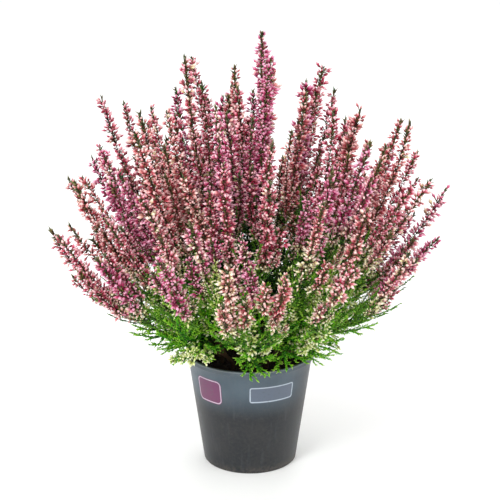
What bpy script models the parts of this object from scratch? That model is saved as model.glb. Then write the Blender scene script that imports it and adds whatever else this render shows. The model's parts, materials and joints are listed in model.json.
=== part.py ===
"""Potted heather: a dark grower's pot, its peat, and a bushy plant of leafy stems with budded flower spikes.

Run it with: blender --background --python part.py
Metres, +Z up. The origin is the middle of the pot's underside, on the surface that the pot stands on.

The plant grows along lines that fan out from the crown. A place on a unit disc picks a line: the middle
of the disc grows straight up, and its edge leans out over the rim and then turns up again. Lines of
different places never meet, so stems that keep to their own places keep clear of each other.
"""

import math
import random

import bmesh
import bpy
from mathutils import Quaternion, Vector

MM = 0.001

# Pot
RIM_RADIUS = 55 * MM
POT_HEIGHT = 98 * MM
FOOT_RADIUS = 39.5 * MM
WALL = 1.2 * MM
LIP_WIDTH = 2.2 * MM
LIP_DEPTH = 4 * MM
LIP_ROUND = 0.7 * MM
FLOOR_TOP = 3 * MM
FOOT_RING_WIDTH = 5 * MM
CENTRE_PAD_RADIUS = 14 * MM
UNDERSIDE_RECESS = 1.5 * MM
POT_SEGMENTS = 30
DRAIN_HOLES = 6
DRAIN_HOLE_RADIUS = 3.5 * MM
DRAIN_HOLE_CIRCLE = 26 * MM

# Peat
PEAT_TOP = 88 * MM
PEAT_LUMP = 1.4 * MM
PEAT_SEGMENTS = 20
PEAT_RINGS = 4
SEAT_GAP = 0.3 * MM
PEAT_SIDE_GAP = 0.7 * MM

# Growth lines
CROWN_TOP = PEAT_TOP + 5 * MM
CROWN_CORE = 2.5 * MM
CROWN_SPREAD = 28 * MM
MID_LENGTH = 262 * MM
EDGE_LENGTH = 178 * MM
EDGE_LEAN = math.radians(68)
LEAN_POWER = 1.3
TURN_UP = 0.5

# Flower spikes stand in rings on the disc: each ring is its radius, its count and its first bearing
INNER_RINGS = ((0.09, 4, 45), (0.27, 8, 22), (0.45, 12, 15))
OUTER_RINGS = ((0.62, 20, 9), (0.78, 20, 0), (0.94, 20, 9))
INNER_STEMS = 4
OUTER_STEMS = 10
RING_JITTER = 0.02
BEARING_JITTER = math.radians(3.5)
SEED = 11

# Shares of a growth line's length at which a stem divides and its spikes begin
FIRST_FORK = 0.04
FIRST_FORK_END = 0.24
SPIKE_START = 0.36
SPIKE_START_JITTER = 0.03
SECOND_FORK_END = 0.56
BUDS_START = 0.035
TIP_SHORTEST = 0.84
TIP_LONGEST = 1.06
LARGEST_BOW = 0.035

# Twigs: four rows of buds or leaves, in pairs that cross
SIDES = 4
STEM_ROOT_DEPTH = 12 * MM
STEM_RADIUS = 1.9 * MM
TWIG_RADIUS = 1.4 * MM
SPIKE_CORE = 2.6 * MM
SPIKE_TIP_CORE = 0.9 * MM
BUD_REACH = 7.2 * MM
BUD_TIP_REACH = 2.4 * MM
BUD_LIFT = 5.5 * MM
BUD_PITCH = 14.5 * MM
LEAF_REACH = 4.2 * MM
LEAF_LIFT = 4.5 * MM
LEAF_PITCH = 14 * MM
LEAST_REACH = 0.8 * MM
POINT_LENGTH = 3 * MM
SUNK = 0.55
CLEARANCE = 0.45 * MM

# Side sprigs of the leafy stems
SHOOT_TWIST = math.radians(31)
LOW_ROWS = 5
SPRIG_LENGTH = 34 * MM
SPRIG_RINGS = 3
SPRIG_CORE = 1.1 * MM
SPRIG_REACH = 3.8 * MM
SPRIG_LIFT = 4 * MM

# Colours (linear), roughness and metallic value
POT_FINISH = ((0.022, 0.024, 0.029, 1), 0.42, 0.0)
PEAT_FINISH = ((0.028, 0.017, 0.010, 1), 0.95, 0.0)
LEAF_FINISH = ((0.085, 0.200, 0.030, 1), 0.62, 0.0)
ROSE_FINISH = ((0.430, 0.120, 0.160, 1), 0.60, 0.0)
MAGENTA_FINISH = ((0.430, 0.065, 0.165, 1), 0.60, 0.0)
BLUSH_FINISH = ((0.560, 0.270, 0.260, 1), 0.60, 0.0)
SPIKE_FINISHES = (("buds_rose", ROSE_FINISH), ("buds_magenta", MAGENTA_FINISH), ("buds_blush", BLUSH_FINISH))


def clear_scene():
    """Removes the objects that the scene starts with."""
    for obj in list(bpy.data.objects):
        bpy.data.objects.remove(obj, do_unlink=True)


def new_collection(name):
    """A collection in the scene."""
    made = bpy.data.collections.new(name)
    bpy.context.scene.collection.children.link(made)
    return made


def finish(name, look):
    """A material with one colour, roughness and metallic value."""
    colour, roughness, metallic = look
    made = bpy.data.materials.new(name)
    made.use_nodes = True
    shader = made.node_tree.nodes["Principled BSDF"]
    shader.inputs["Base Color"].default_value = colour
    shader.inputs["Roughness"].default_value = roughness
    shader.inputs["Metallic"].default_value = metallic
    made.diffuse_color = colour
    return made


def add_object(name, mesh, collection, material=None):
    """An object with this mesh in the collection."""
    obj = bpy.data.objects.new(name, mesh)
    collection.objects.link(obj)
    if material:
        mesh.materials.append(material)
    return obj


def apply_modifiers(obj):
    """Puts the evaluated mesh in place of the object's own mesh and modifiers."""
    graph = bpy.context.evaluated_depsgraph_get()
    mesh = bpy.data.meshes.new_from_object(obj.evaluated_get(graph))
    obj.modifiers.clear()
    obj.data = mesh


def turned(name, profile, segments, collection, material):
    """A turned solid. The profile is (radius, height) points from the top down the outer side."""
    mesh = bpy.data.meshes.new(name)
    mesh.from_pydata([(r, 0, z) for r, z in profile], [(i, i + 1) for i in range(len(profile) - 1)], [])
    obj = add_object(name, mesh, collection, material)
    screw = obj.modifiers.new("turn", "SCREW")
    screw.steps = screw.render_steps = segments
    screw.use_merge_vertices = True
    screw.merge_threshold = 0.00001
    apply_modifiers(obj)
    weld(obj.data)
    return obj


def outer_radius(height):
    """The outer radius of the pot's tapered wall at this height."""
    wall_top = RIM_RADIUS - LIP_WIDTH
    return FOOT_RADIUS + (wall_top - FOOT_RADIUS) * height / (POT_HEIGHT - LIP_DEPTH)


def build_pot(parts, cutters):
    """The pot: a tapered wall under a turned-out lip, a foot ring, a centre pad and drain holes."""
    foot_in = FOOT_RADIUS - FOOT_RING_WIDTH
    mouth = outer_radius(POT_HEIGHT) - WALL
    profile = [
        (RIM_RADIUS - LIP_ROUND, POT_HEIGHT),
        (RIM_RADIUS, POT_HEIGHT - LIP_ROUND),
        (RIM_RADIUS, POT_HEIGHT - LIP_DEPTH),
        (outer_radius(POT_HEIGHT - LIP_DEPTH), POT_HEIGHT - LIP_DEPTH),
        (FOOT_RADIUS, LIP_ROUND),
        (FOOT_RADIUS - LIP_ROUND, 0),
        (foot_in, 0),
        (foot_in - LIP_ROUND, UNDERSIDE_RECESS),
        (CENTRE_PAD_RADIUS + LIP_ROUND, UNDERSIDE_RECESS),
        (CENTRE_PAD_RADIUS, 0),
        (0, 0),
        (0, FLOOR_TOP),
        (outer_radius(FLOOR_TOP) - WALL, FLOOR_TOP),
        (mouth, POT_HEIGHT - LIP_ROUND),
        (mouth + LIP_ROUND, POT_HEIGHT),
        (RIM_RADIUS - LIP_ROUND, POT_HEIGHT),
    ]
    pot = turned("pot", profile, POT_SEGMENTS, parts, finish("pot_plastic", POT_FINISH))
    bearings = [2 * math.pi * (i + 0.5) / DRAIN_HOLES for i in range(DRAIN_HOLES)]
    spots = [Vector((math.cos(a), math.sin(a), 0)) * DRAIN_HOLE_CIRCLE for a in bearings]
    drill(pot, spots, DRAIN_HOLE_RADIUS, 3 * FLOOR_TOP, 8, cutters)
    pot.data.shade_smooth()
    pot.data.set_sharp_from_angle(angle=math.radians(35))


def drill(obj, spots, radius, depth, sides, cutters):
    """Cuts an upright hole at each spot, which is the middle of the hole's length."""
    for spot in spots:
        bpy.ops.mesh.primitive_cylinder_add(vertices=sides, radius=radius, depth=depth * 2, location=spot)
        cutter = bpy.context.object
        cutter.hide_render = True
        cutter.display_type = "WIRE"
        for home in list(cutter.users_collection):
            home.objects.unlink(cutter)
        cutters.objects.link(cutter)
    cut = obj.modifiers.new("holes", "BOOLEAN")
    cut.operation = "DIFFERENCE"
    cut.operand_type = "COLLECTION"
    cut.collection = cutters


def weld(mesh):
    """Merges doubles, drops collapsed faces and points the normals out."""
    bm = bmesh.new()
    bm.from_mesh(mesh)
    bmesh.ops.remove_doubles(bm, verts=bm.verts, dist=0.000002)
    bmesh.ops.dissolve_degenerate(bm, edges=bm.edges, dist=0.000001)
    bmesh.ops.recalc_face_normals(bm, faces=bm.faces)
    bm.to_mesh(mesh)
    bm.free()


def peat_height(x, y):
    """The lumpy top of the peat, from waves of unlike lengths."""
    swell = math.sin(150 * x + 1.3) * math.cos(130 * y - 0.6) + 0.6 * math.sin(290 * x - 240 * y)
    return PEAT_TOP + PEAT_LUMP * swell / 1.6


def build_peat(parts, cutters, stems):
    """The peat that fills the pot, with a plain hole for each stem."""
    bottom = FLOOR_TOP + SEAT_GAP
    bottom_radius = outer_radius(bottom) - WALL - PEAT_SIDE_GAP
    top_radius = outer_radius(PEAT_TOP) - WALL - PEAT_SIDE_GAP
    profile = [(top_radius * i / PEAT_RINGS, PEAT_TOP) for i in range(PEAT_RINGS + 1)]
    profile += [(bottom_radius, bottom), (0, bottom)]
    peat = turned("peat", profile, PEAT_SEGMENTS, parts, finish("peat", PEAT_FINISH))
    for vertex in peat.data.vertices:
        x, y, z = vertex.co
        if z > PEAT_TOP - MM and math.hypot(x, y) < top_radius - MM:
            vertex.co.z = peat_height(x, y)
    spots = [Vector((stem.foot.x, stem.foot.y, PEAT_TOP)) for stem in stems]
    drill(peat, spots, STEM_RADIUS + 2 * SEAT_GAP, STEM_ROOT_DEPTH + SEAT_GAP, 6, cutters)


def grown(disc, share):
    """The point that the growth line of this disc place has reached at this share of its length."""
    rho = max(disc.length, 0.01)
    lean = EDGE_LEAN * rho**LEAN_POWER
    turn = lean * TURN_UP
    length = MID_LENGTH - (MID_LENGTH - EDGE_LENGTH) * rho**2
    outward = (math.cos(lean - turn * share) - math.cos(lean)) / turn
    upward = (math.sin(lean) - math.sin(lean - turn * share)) / turn
    radius = CROWN_CORE + CROWN_SPREAD * rho + length * outward
    way = disc / rho
    return Vector((way.x * radius, way.y * radius, CROWN_TOP + length * upward))


def line_length(disc):
    """The length of the growth line of this disc place."""
    return MID_LENGTH - (MID_LENGTH - EDGE_LENGTH) * disc.length**2


def smooth(value, start, end):
    """0 before start, 1 after end and an even S between them."""
    t = min(max((value - start) / (end - start), 0), 1)
    return t * t * (3 - 2 * t)


def on_disc(rho, bearing):
    """A place on the disc."""
    return Vector((rho * math.cos(bearing), rho * math.sin(bearing)))


class Spike:
    """One flower spike: its disc place, the share at which its line ends, where it begins, and its bow."""

    def __init__(self, place, draw):
        self.place = place
        self.end = draw.uniform(TIP_SHORTEST, TIP_LONGEST)
        self.start = SPIKE_START + draw.uniform(-SPIKE_START_JITTER, SPIKE_START_JITTER)
        self.bow = on_disc(draw.uniform(0, LARGEST_BOW), draw.uniform(0, 2 * math.pi))


class Spray:
    """Two spikes on one short stalk, which stands on one shoot of a leafy stem."""

    def __init__(self, spikes):
        self.spikes = spikes
        self.place = (spikes[0].place + spikes[1].place) / 2
        self.start = (spikes[0].start + spikes[1].start) / 2


class Stem:
    """A leafy stem from the peat, which divides into three shoots with a spray on each."""

    def __init__(self, sprays):
        self.sprays = sprays
        self.place = sum((spray.place for spray in sprays), Vector((0, 0))) / len(sprays)
        top = grown(self.place, 0)
        self.foot = Vector((top.x, top.y, PEAT_TOP - STEM_ROOT_DEPTH))


def ring_places(rings, draw):
    """The disc places of each ring, a little off an even spacing."""
    made = []
    for rho, count, first in rings:
        made.append(
            [
                on_disc(
                    rho + draw.uniform(-RING_JITTER, RING_JITTER),
                    math.radians(first) + 2 * math.pi * i / count + draw.uniform(-BEARING_JITTER, BEARING_JITTER),
                )
                for i in range(count)
            ]
        )
    return made


def plan_plant():
    """The stems with their sprays and spikes. An inner stem has 1, 2 and 3 spikes of its rings, an outer one 2 of each."""
    draw = random.Random(SEED)
    inner, outer = ring_places(INNER_RINGS, draw), ring_places(OUTER_RINGS, draw)
    groups = []
    for k in range(INNER_STEMS):
        near, middle, far = inner[0][k : k + 1], inner[1][2 * k : 2 * k + 2], inner[2][3 * k : 3 * k + 3]
        groups.append([near[0], middle[0], middle[1], far[2], far[0], far[1]])
    for k in range(OUTER_STEMS):
        groups.append([place for ring in outer for place in ring[2 * k : 2 * k + 2]])
    stems = []
    for places in groups:
        spikes = [Spike(place, draw) for place in places]
        stems.append(Stem([Spray(spikes[i : i + 2]) for i in (0, 2, 4)]))
    return stems


def shoot_point(stem, spray, share):
    """A point of the shoot that carries this spray: with the stem at first, then on its own line."""
    part = smooth(share, FIRST_FORK, FIRST_FORK_END)
    return grown(stem.place.lerp(spray.place, part), share)


def spike_point(stem, spray, spike, share):
    """A point of a spike's axis: on its spray's line at first, then on its own."""
    part = smooth(share, spray.start, SECOND_FORK_END)
    base = stem.place.lerp(spray.place, smooth(share, FIRST_FORK, FIRST_FORK_END))
    bow = spike.bow * math.sin(math.pi * (share - spray.start) / (spike.end - spray.start))
    return grown(base.lerp(spike.place, part) + bow, share)


def steps(start, end, pitch):
    """Even steps from start to end, both in, about one pitch apart."""
    count = max(int(round((end - start) / pitch)), 2)
    return [start + (end - start) * i / count for i in range(count + 1)]


class Ring:
    """One ring of a twig: its middle, its core radius, and how far its leaves or buds reach out and up."""

    def __init__(self, middle, core, reach=0.0, lift=0.0):
        self.middle = middle
        self.core = core
        self.reach = reach
        self.lift = lift


def set_corner(vertex, ring, way, along, raised):
    """Puts a corner of a ring in its place: on the core, or out and up where it is a bud or leaf."""
    if raised and ring.reach:
        vertex.co = ring.middle + way * ring.reach + along * ring.lift
    else:
        vertex.co = ring.middle + way * ring.core


def rod_mesh(name, rings, twist=0.0, sprigs=()):
    """A closed twig through these rings, which ends in a point. Where a ring has a reach, two opposite corners stand
    out as buds or leaves, and the next ring's pair crosses them. Sprigs grow out of single faces of the twig."""
    rows = [rings[0], *rings]
    last = len(rows) - 1
    bare = {(sprig.row + i, (sprig.side + j) % SIDES) for sprig in sprigs for i in (0, 1, 2) for j in (0, 1)}
    bm = bmesh.new()
    bmesh.ops.create_grid(bm, x_segments=SIDES, y_segments=last, size=0.5)
    cell = bm.faces.layers.int.new("cell")
    for face in bm.faces:
        middle = face.calc_center_median()
        face[cell] = int((middle.y + 0.5) * last) * SIDES + int((middle.x + 0.5) * SIDES)
    for vertex in bm.verts:
        row = round((vertex.co.y + 0.5) * last)
        corner = round((vertex.co.x + 0.5) * SIDES) % SIDES
        along, across, outward = frame_at(rows, row)
        angle = 2 * math.pi * corner / SIDES + twist
        way = across * math.cos(angle) + outward * math.sin(angle)
        if row in (0, last):
            vertex.co = rows[row].middle
        else:
            set_corner(vertex, rows[row], way, along, (corner + row) % 2 == 0 and (row, corner) not in bare)
    bmesh.ops.remove_doubles(bm, verts=bm.verts, dist=0.000002)
    bmesh.ops.recalc_face_normals(bm, faces=bm.faces)
    for sprig in sprigs:
        face = next(face for face in bm.faces if face[cell] == sprig.row * SIDES + sprig.side)
        grow_sprig(bm, face, sprig)
    bmesh.ops.triangulate(bm, faces=bm.faces, quad_method="SHORT_EDGE")
    bmesh.ops.recalc_face_normals(bm, faces=bm.faces)
    mesh = bpy.data.meshes.new(name)
    bm.to_mesh(mesh)
    bm.free()
    return mesh


def frame_at(rows, row):
    """The direction along a twig at this row, and the two directions square to it."""
    before, after = rows[max(row - 1, 0)].middle, rows[min(row + 1, len(rows) - 1)].middle
    along = (after - before).normalized()
    here = rows[row].middle
    across = along.cross(Vector((here.x + 0.00001, here.y, 0))).normalized()
    return along, across, across.cross(along)


def grow_sprig(bm, face, sprig):
    """Pulls a face out ring by ring and closes it in a point."""
    first = None
    for i, ring in enumerate(sprig.rings):
        face = bmesh.ops.extrude_discrete_faces(bm, faces=[face])["faces"][0]
        before = sprig.rings[i - 1].middle if i else sprig.start
        along = (ring.middle - before).normalized()
        corners = [loop.vert for loop in face.loops]
        if first is None:
            first = corners[0].co - face.calc_center_median()
        if i == len(sprig.rings) - 1:
            bmesh.ops.pointmerge(bm, verts=corners, merge_co=ring.middle)
            return
        way = (first - along * first.dot(along)).normalized()
        for k, vertex in enumerate(corners):
            turned_way = way if k == 0 else Quaternion(along, math.pi / 2 * k) @ way
            set_corner(vertex, ring, turned_way, along, (k + i) % 2 == 0)


class Sprig:
    """A leafy side twig: the row and side of its shoot's face, the face's middle, and its rings."""

    def __init__(self, row, side, start, rings):
        self.row = row
        self.side = side
        self.start = start
        self.rings = rings


class Crowd:
    """The room that the twigs have taken, so that no later one comes too near."""

    def __init__(self):
        self.taken = []

    def room(self, point, owners):
        """How far a twig may reach from this point. It may come near the owners' own twigs."""
        found = (
            (point - other).length - reach - CLEARANCE for other, reach, holder in self.taken if holder not in owners
        )
        return min(found, default=1.0)

    def take(self, rings, owner):
        """Notes the room of a twig's rings, and of the places between them."""
        for one, two in zip(rings, rings[1:]):
            widest = max(one.reach, one.core, two.reach, two.core)
            self.taken.append((one.middle, max(one.reach, one.core), owner))
            self.taken.append((one.middle.lerp(two.middle, 0.5), widest, owner))
        self.taken.append((rings[-1].middle, rings[-1].core, owner))


def join(name, meshes, parts, material):
    """One object from twigs that are sunk in each other."""
    first = add_object(name, meshes[0], parts, material)
    if len(meshes) == 1:
        return first
    loose = new_collection("loose_" + name)
    for i, mesh in enumerate(meshes[1:]):
        add_object(f"loose_{name}_{i}", mesh, loose)
    union = first.modifiers.new("grown_together", "BOOLEAN")
    union.operation = "UNION"
    union.operand_type = "COLLECTION"
    union.collection = loose
    union.solver = "MANIFOLD"
    apply_modifiers(first)
    for obj in list(loose.objects):
        bpy.data.objects.remove(obj, do_unlink=True)
    bpy.data.collections.remove(loose)
    return first


def spike_rings(stem, spray, spike, crowd, owner, sunk):
    """The rings of one spike: a bare stalk, pairs of buds that grow shorter to the tip, and a point. A sunk one
    starts inside its neighbour's stalk."""
    length = line_length(spike.place)
    start = spray.start + (0.5 * BUDS_START if sunk else 0)
    stalk_end = spray.start + BUDS_START
    rings = [
        Ring(spike_point(stem, spray, spike, start), TWIG_RADIUS * (SUNK if sunk else 1)),
        Ring(spike_point(stem, spray, spike, stalk_end), TWIG_RADIUS * (SUNK if sunk else 1)),
    ]
    shares = steps(stalk_end, spike.end, BUD_PITCH / length)[1:]
    for i, share in enumerate(shares):
        t = (i + 1) / len(shares)
        middle = spike_point(stem, spray, spike, share)
        swell = min(1.0, 0.55 + 2.2 * t) * (1 - smooth(t, 0.45, 1.05))
        reach = BUD_TIP_REACH + (BUD_REACH - BUD_TIP_REACH) * swell
        core = SPIKE_TIP_CORE + (SPIKE_CORE - SPIKE_TIP_CORE) * swell
        reach = max(min(reach, crowd.room(middle, [owner])), core + LEAST_REACH)
        rings.append(Ring(middle, core, reach, BUD_LIFT * (1 - 0.4 * t)))
    along = (rings[-1].middle - rings[-2].middle).normalized()
    rings.append(Ring(rings[-1].middle + along * (BUD_LIFT + POINT_LENGTH), 0))
    return rings


def build_sprays(stems, parts, crowd):
    """Each spray is one node: two budded spikes grown from one stalk."""
    looks = [finish(name, look) for name, look in SPIKE_FINISHES]
    number = 0
    for stem in stems:
        for spray in stem.sprays:
            number += 1
            name = f"flower_spray_{number:02d}"
            meshes = []
            for i, spike in enumerate(spray.spikes):
                rings = spike_rings(stem, spray, spike, crowd, name, sunk=i > 0)
                crowd.take(rings, name)
                meshes.append(rod_mesh(f"{name}_{i}", rings, i * math.radians(40)))
            join(name, meshes, parts, looks[(number + (number - 1) // 3) % len(looks)])


def shoot_rings(stem, spray, sunk):
    """The rings of one leafy shoot, up to where its spray's stalk begins. The first shoot stands in the peat, and
    a sunk one starts inside it."""
    length = line_length(spray.place)
    gap = SEAT_GAP / length
    rings = [] if sunk else [Ring(stem.foot, STEM_RADIUS)]
    start = 0.5 * FIRST_FORK if sunk else 0.0
    for share in steps(start, spray.start - gap, LEAF_PITCH / length):
        slim = STEM_RADIUS + (TWIG_RADIUS - STEM_RADIUS) * smooth(share, 0, FIRST_FORK_END)
        if sunk and share <= FIRST_FORK + 0.03:
            slim *= SUNK
        leafy = FIRST_FORK < share < spray.start - 0.02
        rings.append(
            Ring(shoot_point(stem, spray, share), slim, LEAF_REACH if leafy else 0.0, LEAF_LIFT if leafy else 0.0)
        )
    return rings


def keep_apart(shoots):
    """Shortens the leaves of each shoot that passes near another stem's."""
    points = [
        (one.middle.lerp(two.middle, t), name)
        for name, stem_rings in shoots.items()
        for rings in stem_rings
        for one, two in zip(rings, rings[1:])
        for t in (0, 0.25, 0.5, 0.75)
    ]
    for name, stem_rings in shoots.items():
        for ring in (ring for rings in stem_rings for ring in rings if ring.reach):
            tip = ring.middle + Vector((0, 0, 0.5 * ring.lift))
            nearest = min((tip - point).length for point, holder in points if holder != name)
            room = 0.5 * nearest - CLEARANCE
            ring.reach = min(ring.reach, room) if room > ring.core + LEAST_REACH else 0


def find_sprigs(rings, twist, crowd, owner, shoot, draw):
    """The sprigs that have room on a shoot's faces: two at most between low rings, and one between others."""
    rows = [rings[0], *rings]
    made = []
    for row in range(len(rows) - 3, 1, -1):
        if not rows[row].reach:
            continue
        room = 2 if row < LOW_ROWS else 1
        for side in draw.sample(range(SIDES), SIDES):
            sprig = sprig_at(rows, row, side, twist, draw)
            if room and fits(sprig, crowd, shoot):
                crowd.take(sprig.rings, owner)
                made.append(sprig)
                room -= 1
    return made


def fits(sprig, crowd, shoot):
    """Whether a sprig keeps clear of all but its own shoot."""
    before = Ring(sprig.start, 0)
    for ring in sprig.rings:
        widest = max(before.reach, ring.reach)
        middle = before.middle.lerp(ring.middle, 0.5)
        if crowd.room(middle, [shoot]) < widest or crowd.room(ring.middle, [shoot]) < ring.reach:
            return False
        before = ring
    return True


def sprig_at(rows, row, side, twist, draw):
    """A sprig that leaves this face at a slant and bends up."""
    along, across, outward = frame_at(rows, row)
    angle = 2 * math.pi * (side + 0.5) / SIDES + twist
    away = across * math.cos(angle) + outward * math.sin(angle)
    start = rows[row].middle.lerp(rows[row + 1].middle, 0.5) + away * rows[row].core * 0.7
    length = SPRIG_LENGTH * draw.uniform(0.8, 1.25)
    rings = []
    for i in range(1, SPRIG_RINGS + 1):
        t = i / SPRIG_RINGS
        middle = start + away * length * (0.75 * t - 0.25 * t * t) + along * length * (0.45 * t + 0.3 * t * t)
        leafy = i < SPRIG_RINGS
        rings.append(
            Ring(middle, SPRIG_CORE * (1 - 0.5 * t) * leafy, SPRIG_REACH * leafy * (1.1 - 0.4 * t), SPRIG_LIFT * leafy)
        )
    return Sprig(row, side, start, rings)


def build_stems(stems, parts, crowd, draw):
    """Each leafy stem is one node: three shoots from one foot, with leafy sprigs at their sides."""
    look = finish("foliage", LEAF_FINISH)
    shoots = {}
    for number, stem in enumerate(stems, 1):
        name = f"leafy_stem_{number:02d}"
        shoots[name] = [shoot_rings(stem, spray, sunk=i > 0) for i, spray in enumerate(stem.sprays)]
    keep_apart(shoots)
    for name, stem_rings in shoots.items():
        for i, rings in enumerate(stem_rings):
            crowd.take(rings, f"{name}_{i}")
    build_sprays(stems, parts, crowd)
    for name, stem_rings in shoots.items():
        meshes = []
        for i, rings in enumerate(stem_rings):
            twist = i * SHOOT_TWIST
            sprigs = find_sprigs(rings, twist, crowd, name, f"{name}_{i}", draw)
            meshes.append(rod_mesh(f"{name}_{i}", rings, twist, sprigs))
        join(name, meshes, parts, look)


def main():
    """Builds the pot, the plant and the peat with the holes that the stems stand in."""
    clear_scene()
    parts = new_collection("potted_heather")
    drain_cutters = new_collection("drain_hole_cutters")
    stem_cutters = new_collection("stem_hole_cutters")
    stems = plan_plant()
    build_pot(parts, drain_cutters)
    build_peat(parts, stem_cutters, stems)
    build_stems(stems, parts, Crowd(), random.Random(SEED + 1))


main()
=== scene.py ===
"""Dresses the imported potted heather: a fine pot, crumbly peat, leafy stems and spikes of closed buds."""

import json
import logging
import math
import random
from collections.abc import Callable, Sequence
from dataclasses import dataclass, field
from enum import Enum

import bmesh
import bpy
from bpy.types import Collection, ColorRamp, Material, Mesh, Node, NodeSocket, NodeTree, Object
from mathutils import Matrix, Quaternion, Vector, noise

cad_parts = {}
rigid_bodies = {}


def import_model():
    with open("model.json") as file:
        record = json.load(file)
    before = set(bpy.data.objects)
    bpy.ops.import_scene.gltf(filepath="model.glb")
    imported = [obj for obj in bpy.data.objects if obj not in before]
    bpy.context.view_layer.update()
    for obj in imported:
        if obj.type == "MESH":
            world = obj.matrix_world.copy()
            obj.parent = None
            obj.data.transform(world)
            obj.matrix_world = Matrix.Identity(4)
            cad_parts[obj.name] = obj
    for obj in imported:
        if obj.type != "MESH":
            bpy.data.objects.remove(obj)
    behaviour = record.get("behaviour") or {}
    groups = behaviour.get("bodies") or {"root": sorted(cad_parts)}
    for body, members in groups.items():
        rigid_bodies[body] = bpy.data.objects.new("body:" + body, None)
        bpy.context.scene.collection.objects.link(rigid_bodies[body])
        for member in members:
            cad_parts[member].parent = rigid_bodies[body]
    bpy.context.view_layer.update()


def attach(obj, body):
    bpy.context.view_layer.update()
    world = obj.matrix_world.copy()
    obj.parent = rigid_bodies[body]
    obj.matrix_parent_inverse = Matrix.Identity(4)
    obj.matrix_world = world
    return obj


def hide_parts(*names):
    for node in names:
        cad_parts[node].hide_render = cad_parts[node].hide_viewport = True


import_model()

LOG = logging.getLogger("potted_heather")
MM = 0.001
FULL_TURN = 2 * math.pi
GOLDEN_TURN = math.radians(137.508)
CHART = "OFBake"
BODY = "root"
UP = Vector((0, 0, 1))

Triple = tuple[float, float, float]
Colour = Triple
Stops = tuple[tuple[float, Colour], ...]
Range = tuple[float, float]


def srgb(red: int, green: int, blue: int) -> Colour:
    """The linear colour of a screen colour of 0 to 255."""
    screen = (red / 255, green / 255, blue / 255)
    return tuple(c / 12.92 if c <= 0.04045 else ((c + 0.055) / 1.055) ** 2.4 for c in screen)


def stops(*rows: tuple[float, int, int, int]) -> Stops:
    """A colour ramp, from rows of a place and a screen colour."""
    return tuple((place, srgb(red, green, blue)) for place, red, green, blue in rows)


def smooth(value: float, start: float, end: float) -> float:
    """0 before start, 1 after end and an even S between them."""
    t = min(max((value - start) / (end - start), 0.0), 1.0)
    return t * t * (3 - 2 * t)


def between(low: float, high: float, share: float) -> float:
    """The number at this share of the way from low to high."""
    return low + (high - low) * share


def ease(value: float, first: float, last: float, start: float, end: float) -> float:
    """The number that eases from first to last while the value goes from start to end."""
    return between(first, last, smooth(value, start, end))


def shares(count: int) -> list[float]:
    """Even shares from 0 to 1, in this number of steps."""
    return [i / count for i in range(count + 1)]


def on_disc(rho: float, bearing: float) -> Vector:
    """A place on the disc that the plant's growth lines start from."""
    return Vector((rho * math.cos(bearing), rho * math.sin(bearing)))


class Slot(Enum):
    """The record's material slots."""

    POT = "pot_plastic"
    PEAT = "peat"
    FOLIAGE = "foliage"
    ROSE = "buds_rose"
    MAGENTA = "buds_magenta"
    BLUSH = "buds_blush"


class Band(Enum):
    """Strips of the plant's colour chart: the v at which each strip starts. A strip is STRIP high."""

    BARK = 0.02
    LEAF = 0.22
    BUD = 0.42
    PALE_BUD = 0.62
    DUSKY_BUD = 0.82


STRIP = 0.16
STRIP_STEP = 0.20
STRIP_MARGIN = 0.02
STRIP_SHARES = (0.1, 0.9)


# ---------------------------------------------------------------- meshes and objects


def mesh_from(name: str, bm: bmesh.types.BMesh) -> Mesh:
    """Turns a finished BMesh into a mesh, and frees it.

    Args:
        name: the mesh's name.
        bm: the BMesh.

    Returns:
        The mesh.
    """
    mesh = bpy.data.meshes.new(name)
    bm.to_mesh(mesh)
    bm.free()
    return mesh


def in_scene(made: Object) -> Object:
    """Puts an object into the scene, and returns it."""
    bpy.context.scene.collection.objects.link(made)
    return made


def worked_out(made: Object) -> Mesh:
    """The plain mesh that an object has with its modifiers."""
    return bpy.data.meshes.new_from_object(made.evaluated_get(bpy.context.evaluated_depsgraph_get()))


def set_up(piece: Object, node: str, slot: Slot) -> None:
    """Makes a finished piece stand for its CAD node, and reports it.

    Args:
        piece: the piece.
        node: the CAD node's name.
        slot: the piece's material slot; not used.
    """
    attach(piece, BODY)
    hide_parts(node)
    triangles = sum(len(face.vertices) - 2 for face in piece.data.polygons)
    LOG.info("%s: %d triangles for node %s", piece.name, triangles, node)


# ---------------------------------------------------------------- node trees


def operator(operation: str, swapped: bool = False) -> Callable[["Value", "Value | float"], "Value"]:
    """Makes a method of Value that takes another term.

    Args:
        operation: the operation of its Math node.
        swapped: whether the other term comes first.

    Returns:
        The method.
    """

    def method(value: "Value", other: "Value | float") -> "Value":
        """The result of the operation with the other term."""
        return value.maths(operation, *((other, value) if swapped else (value, other)))

    return method


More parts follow.
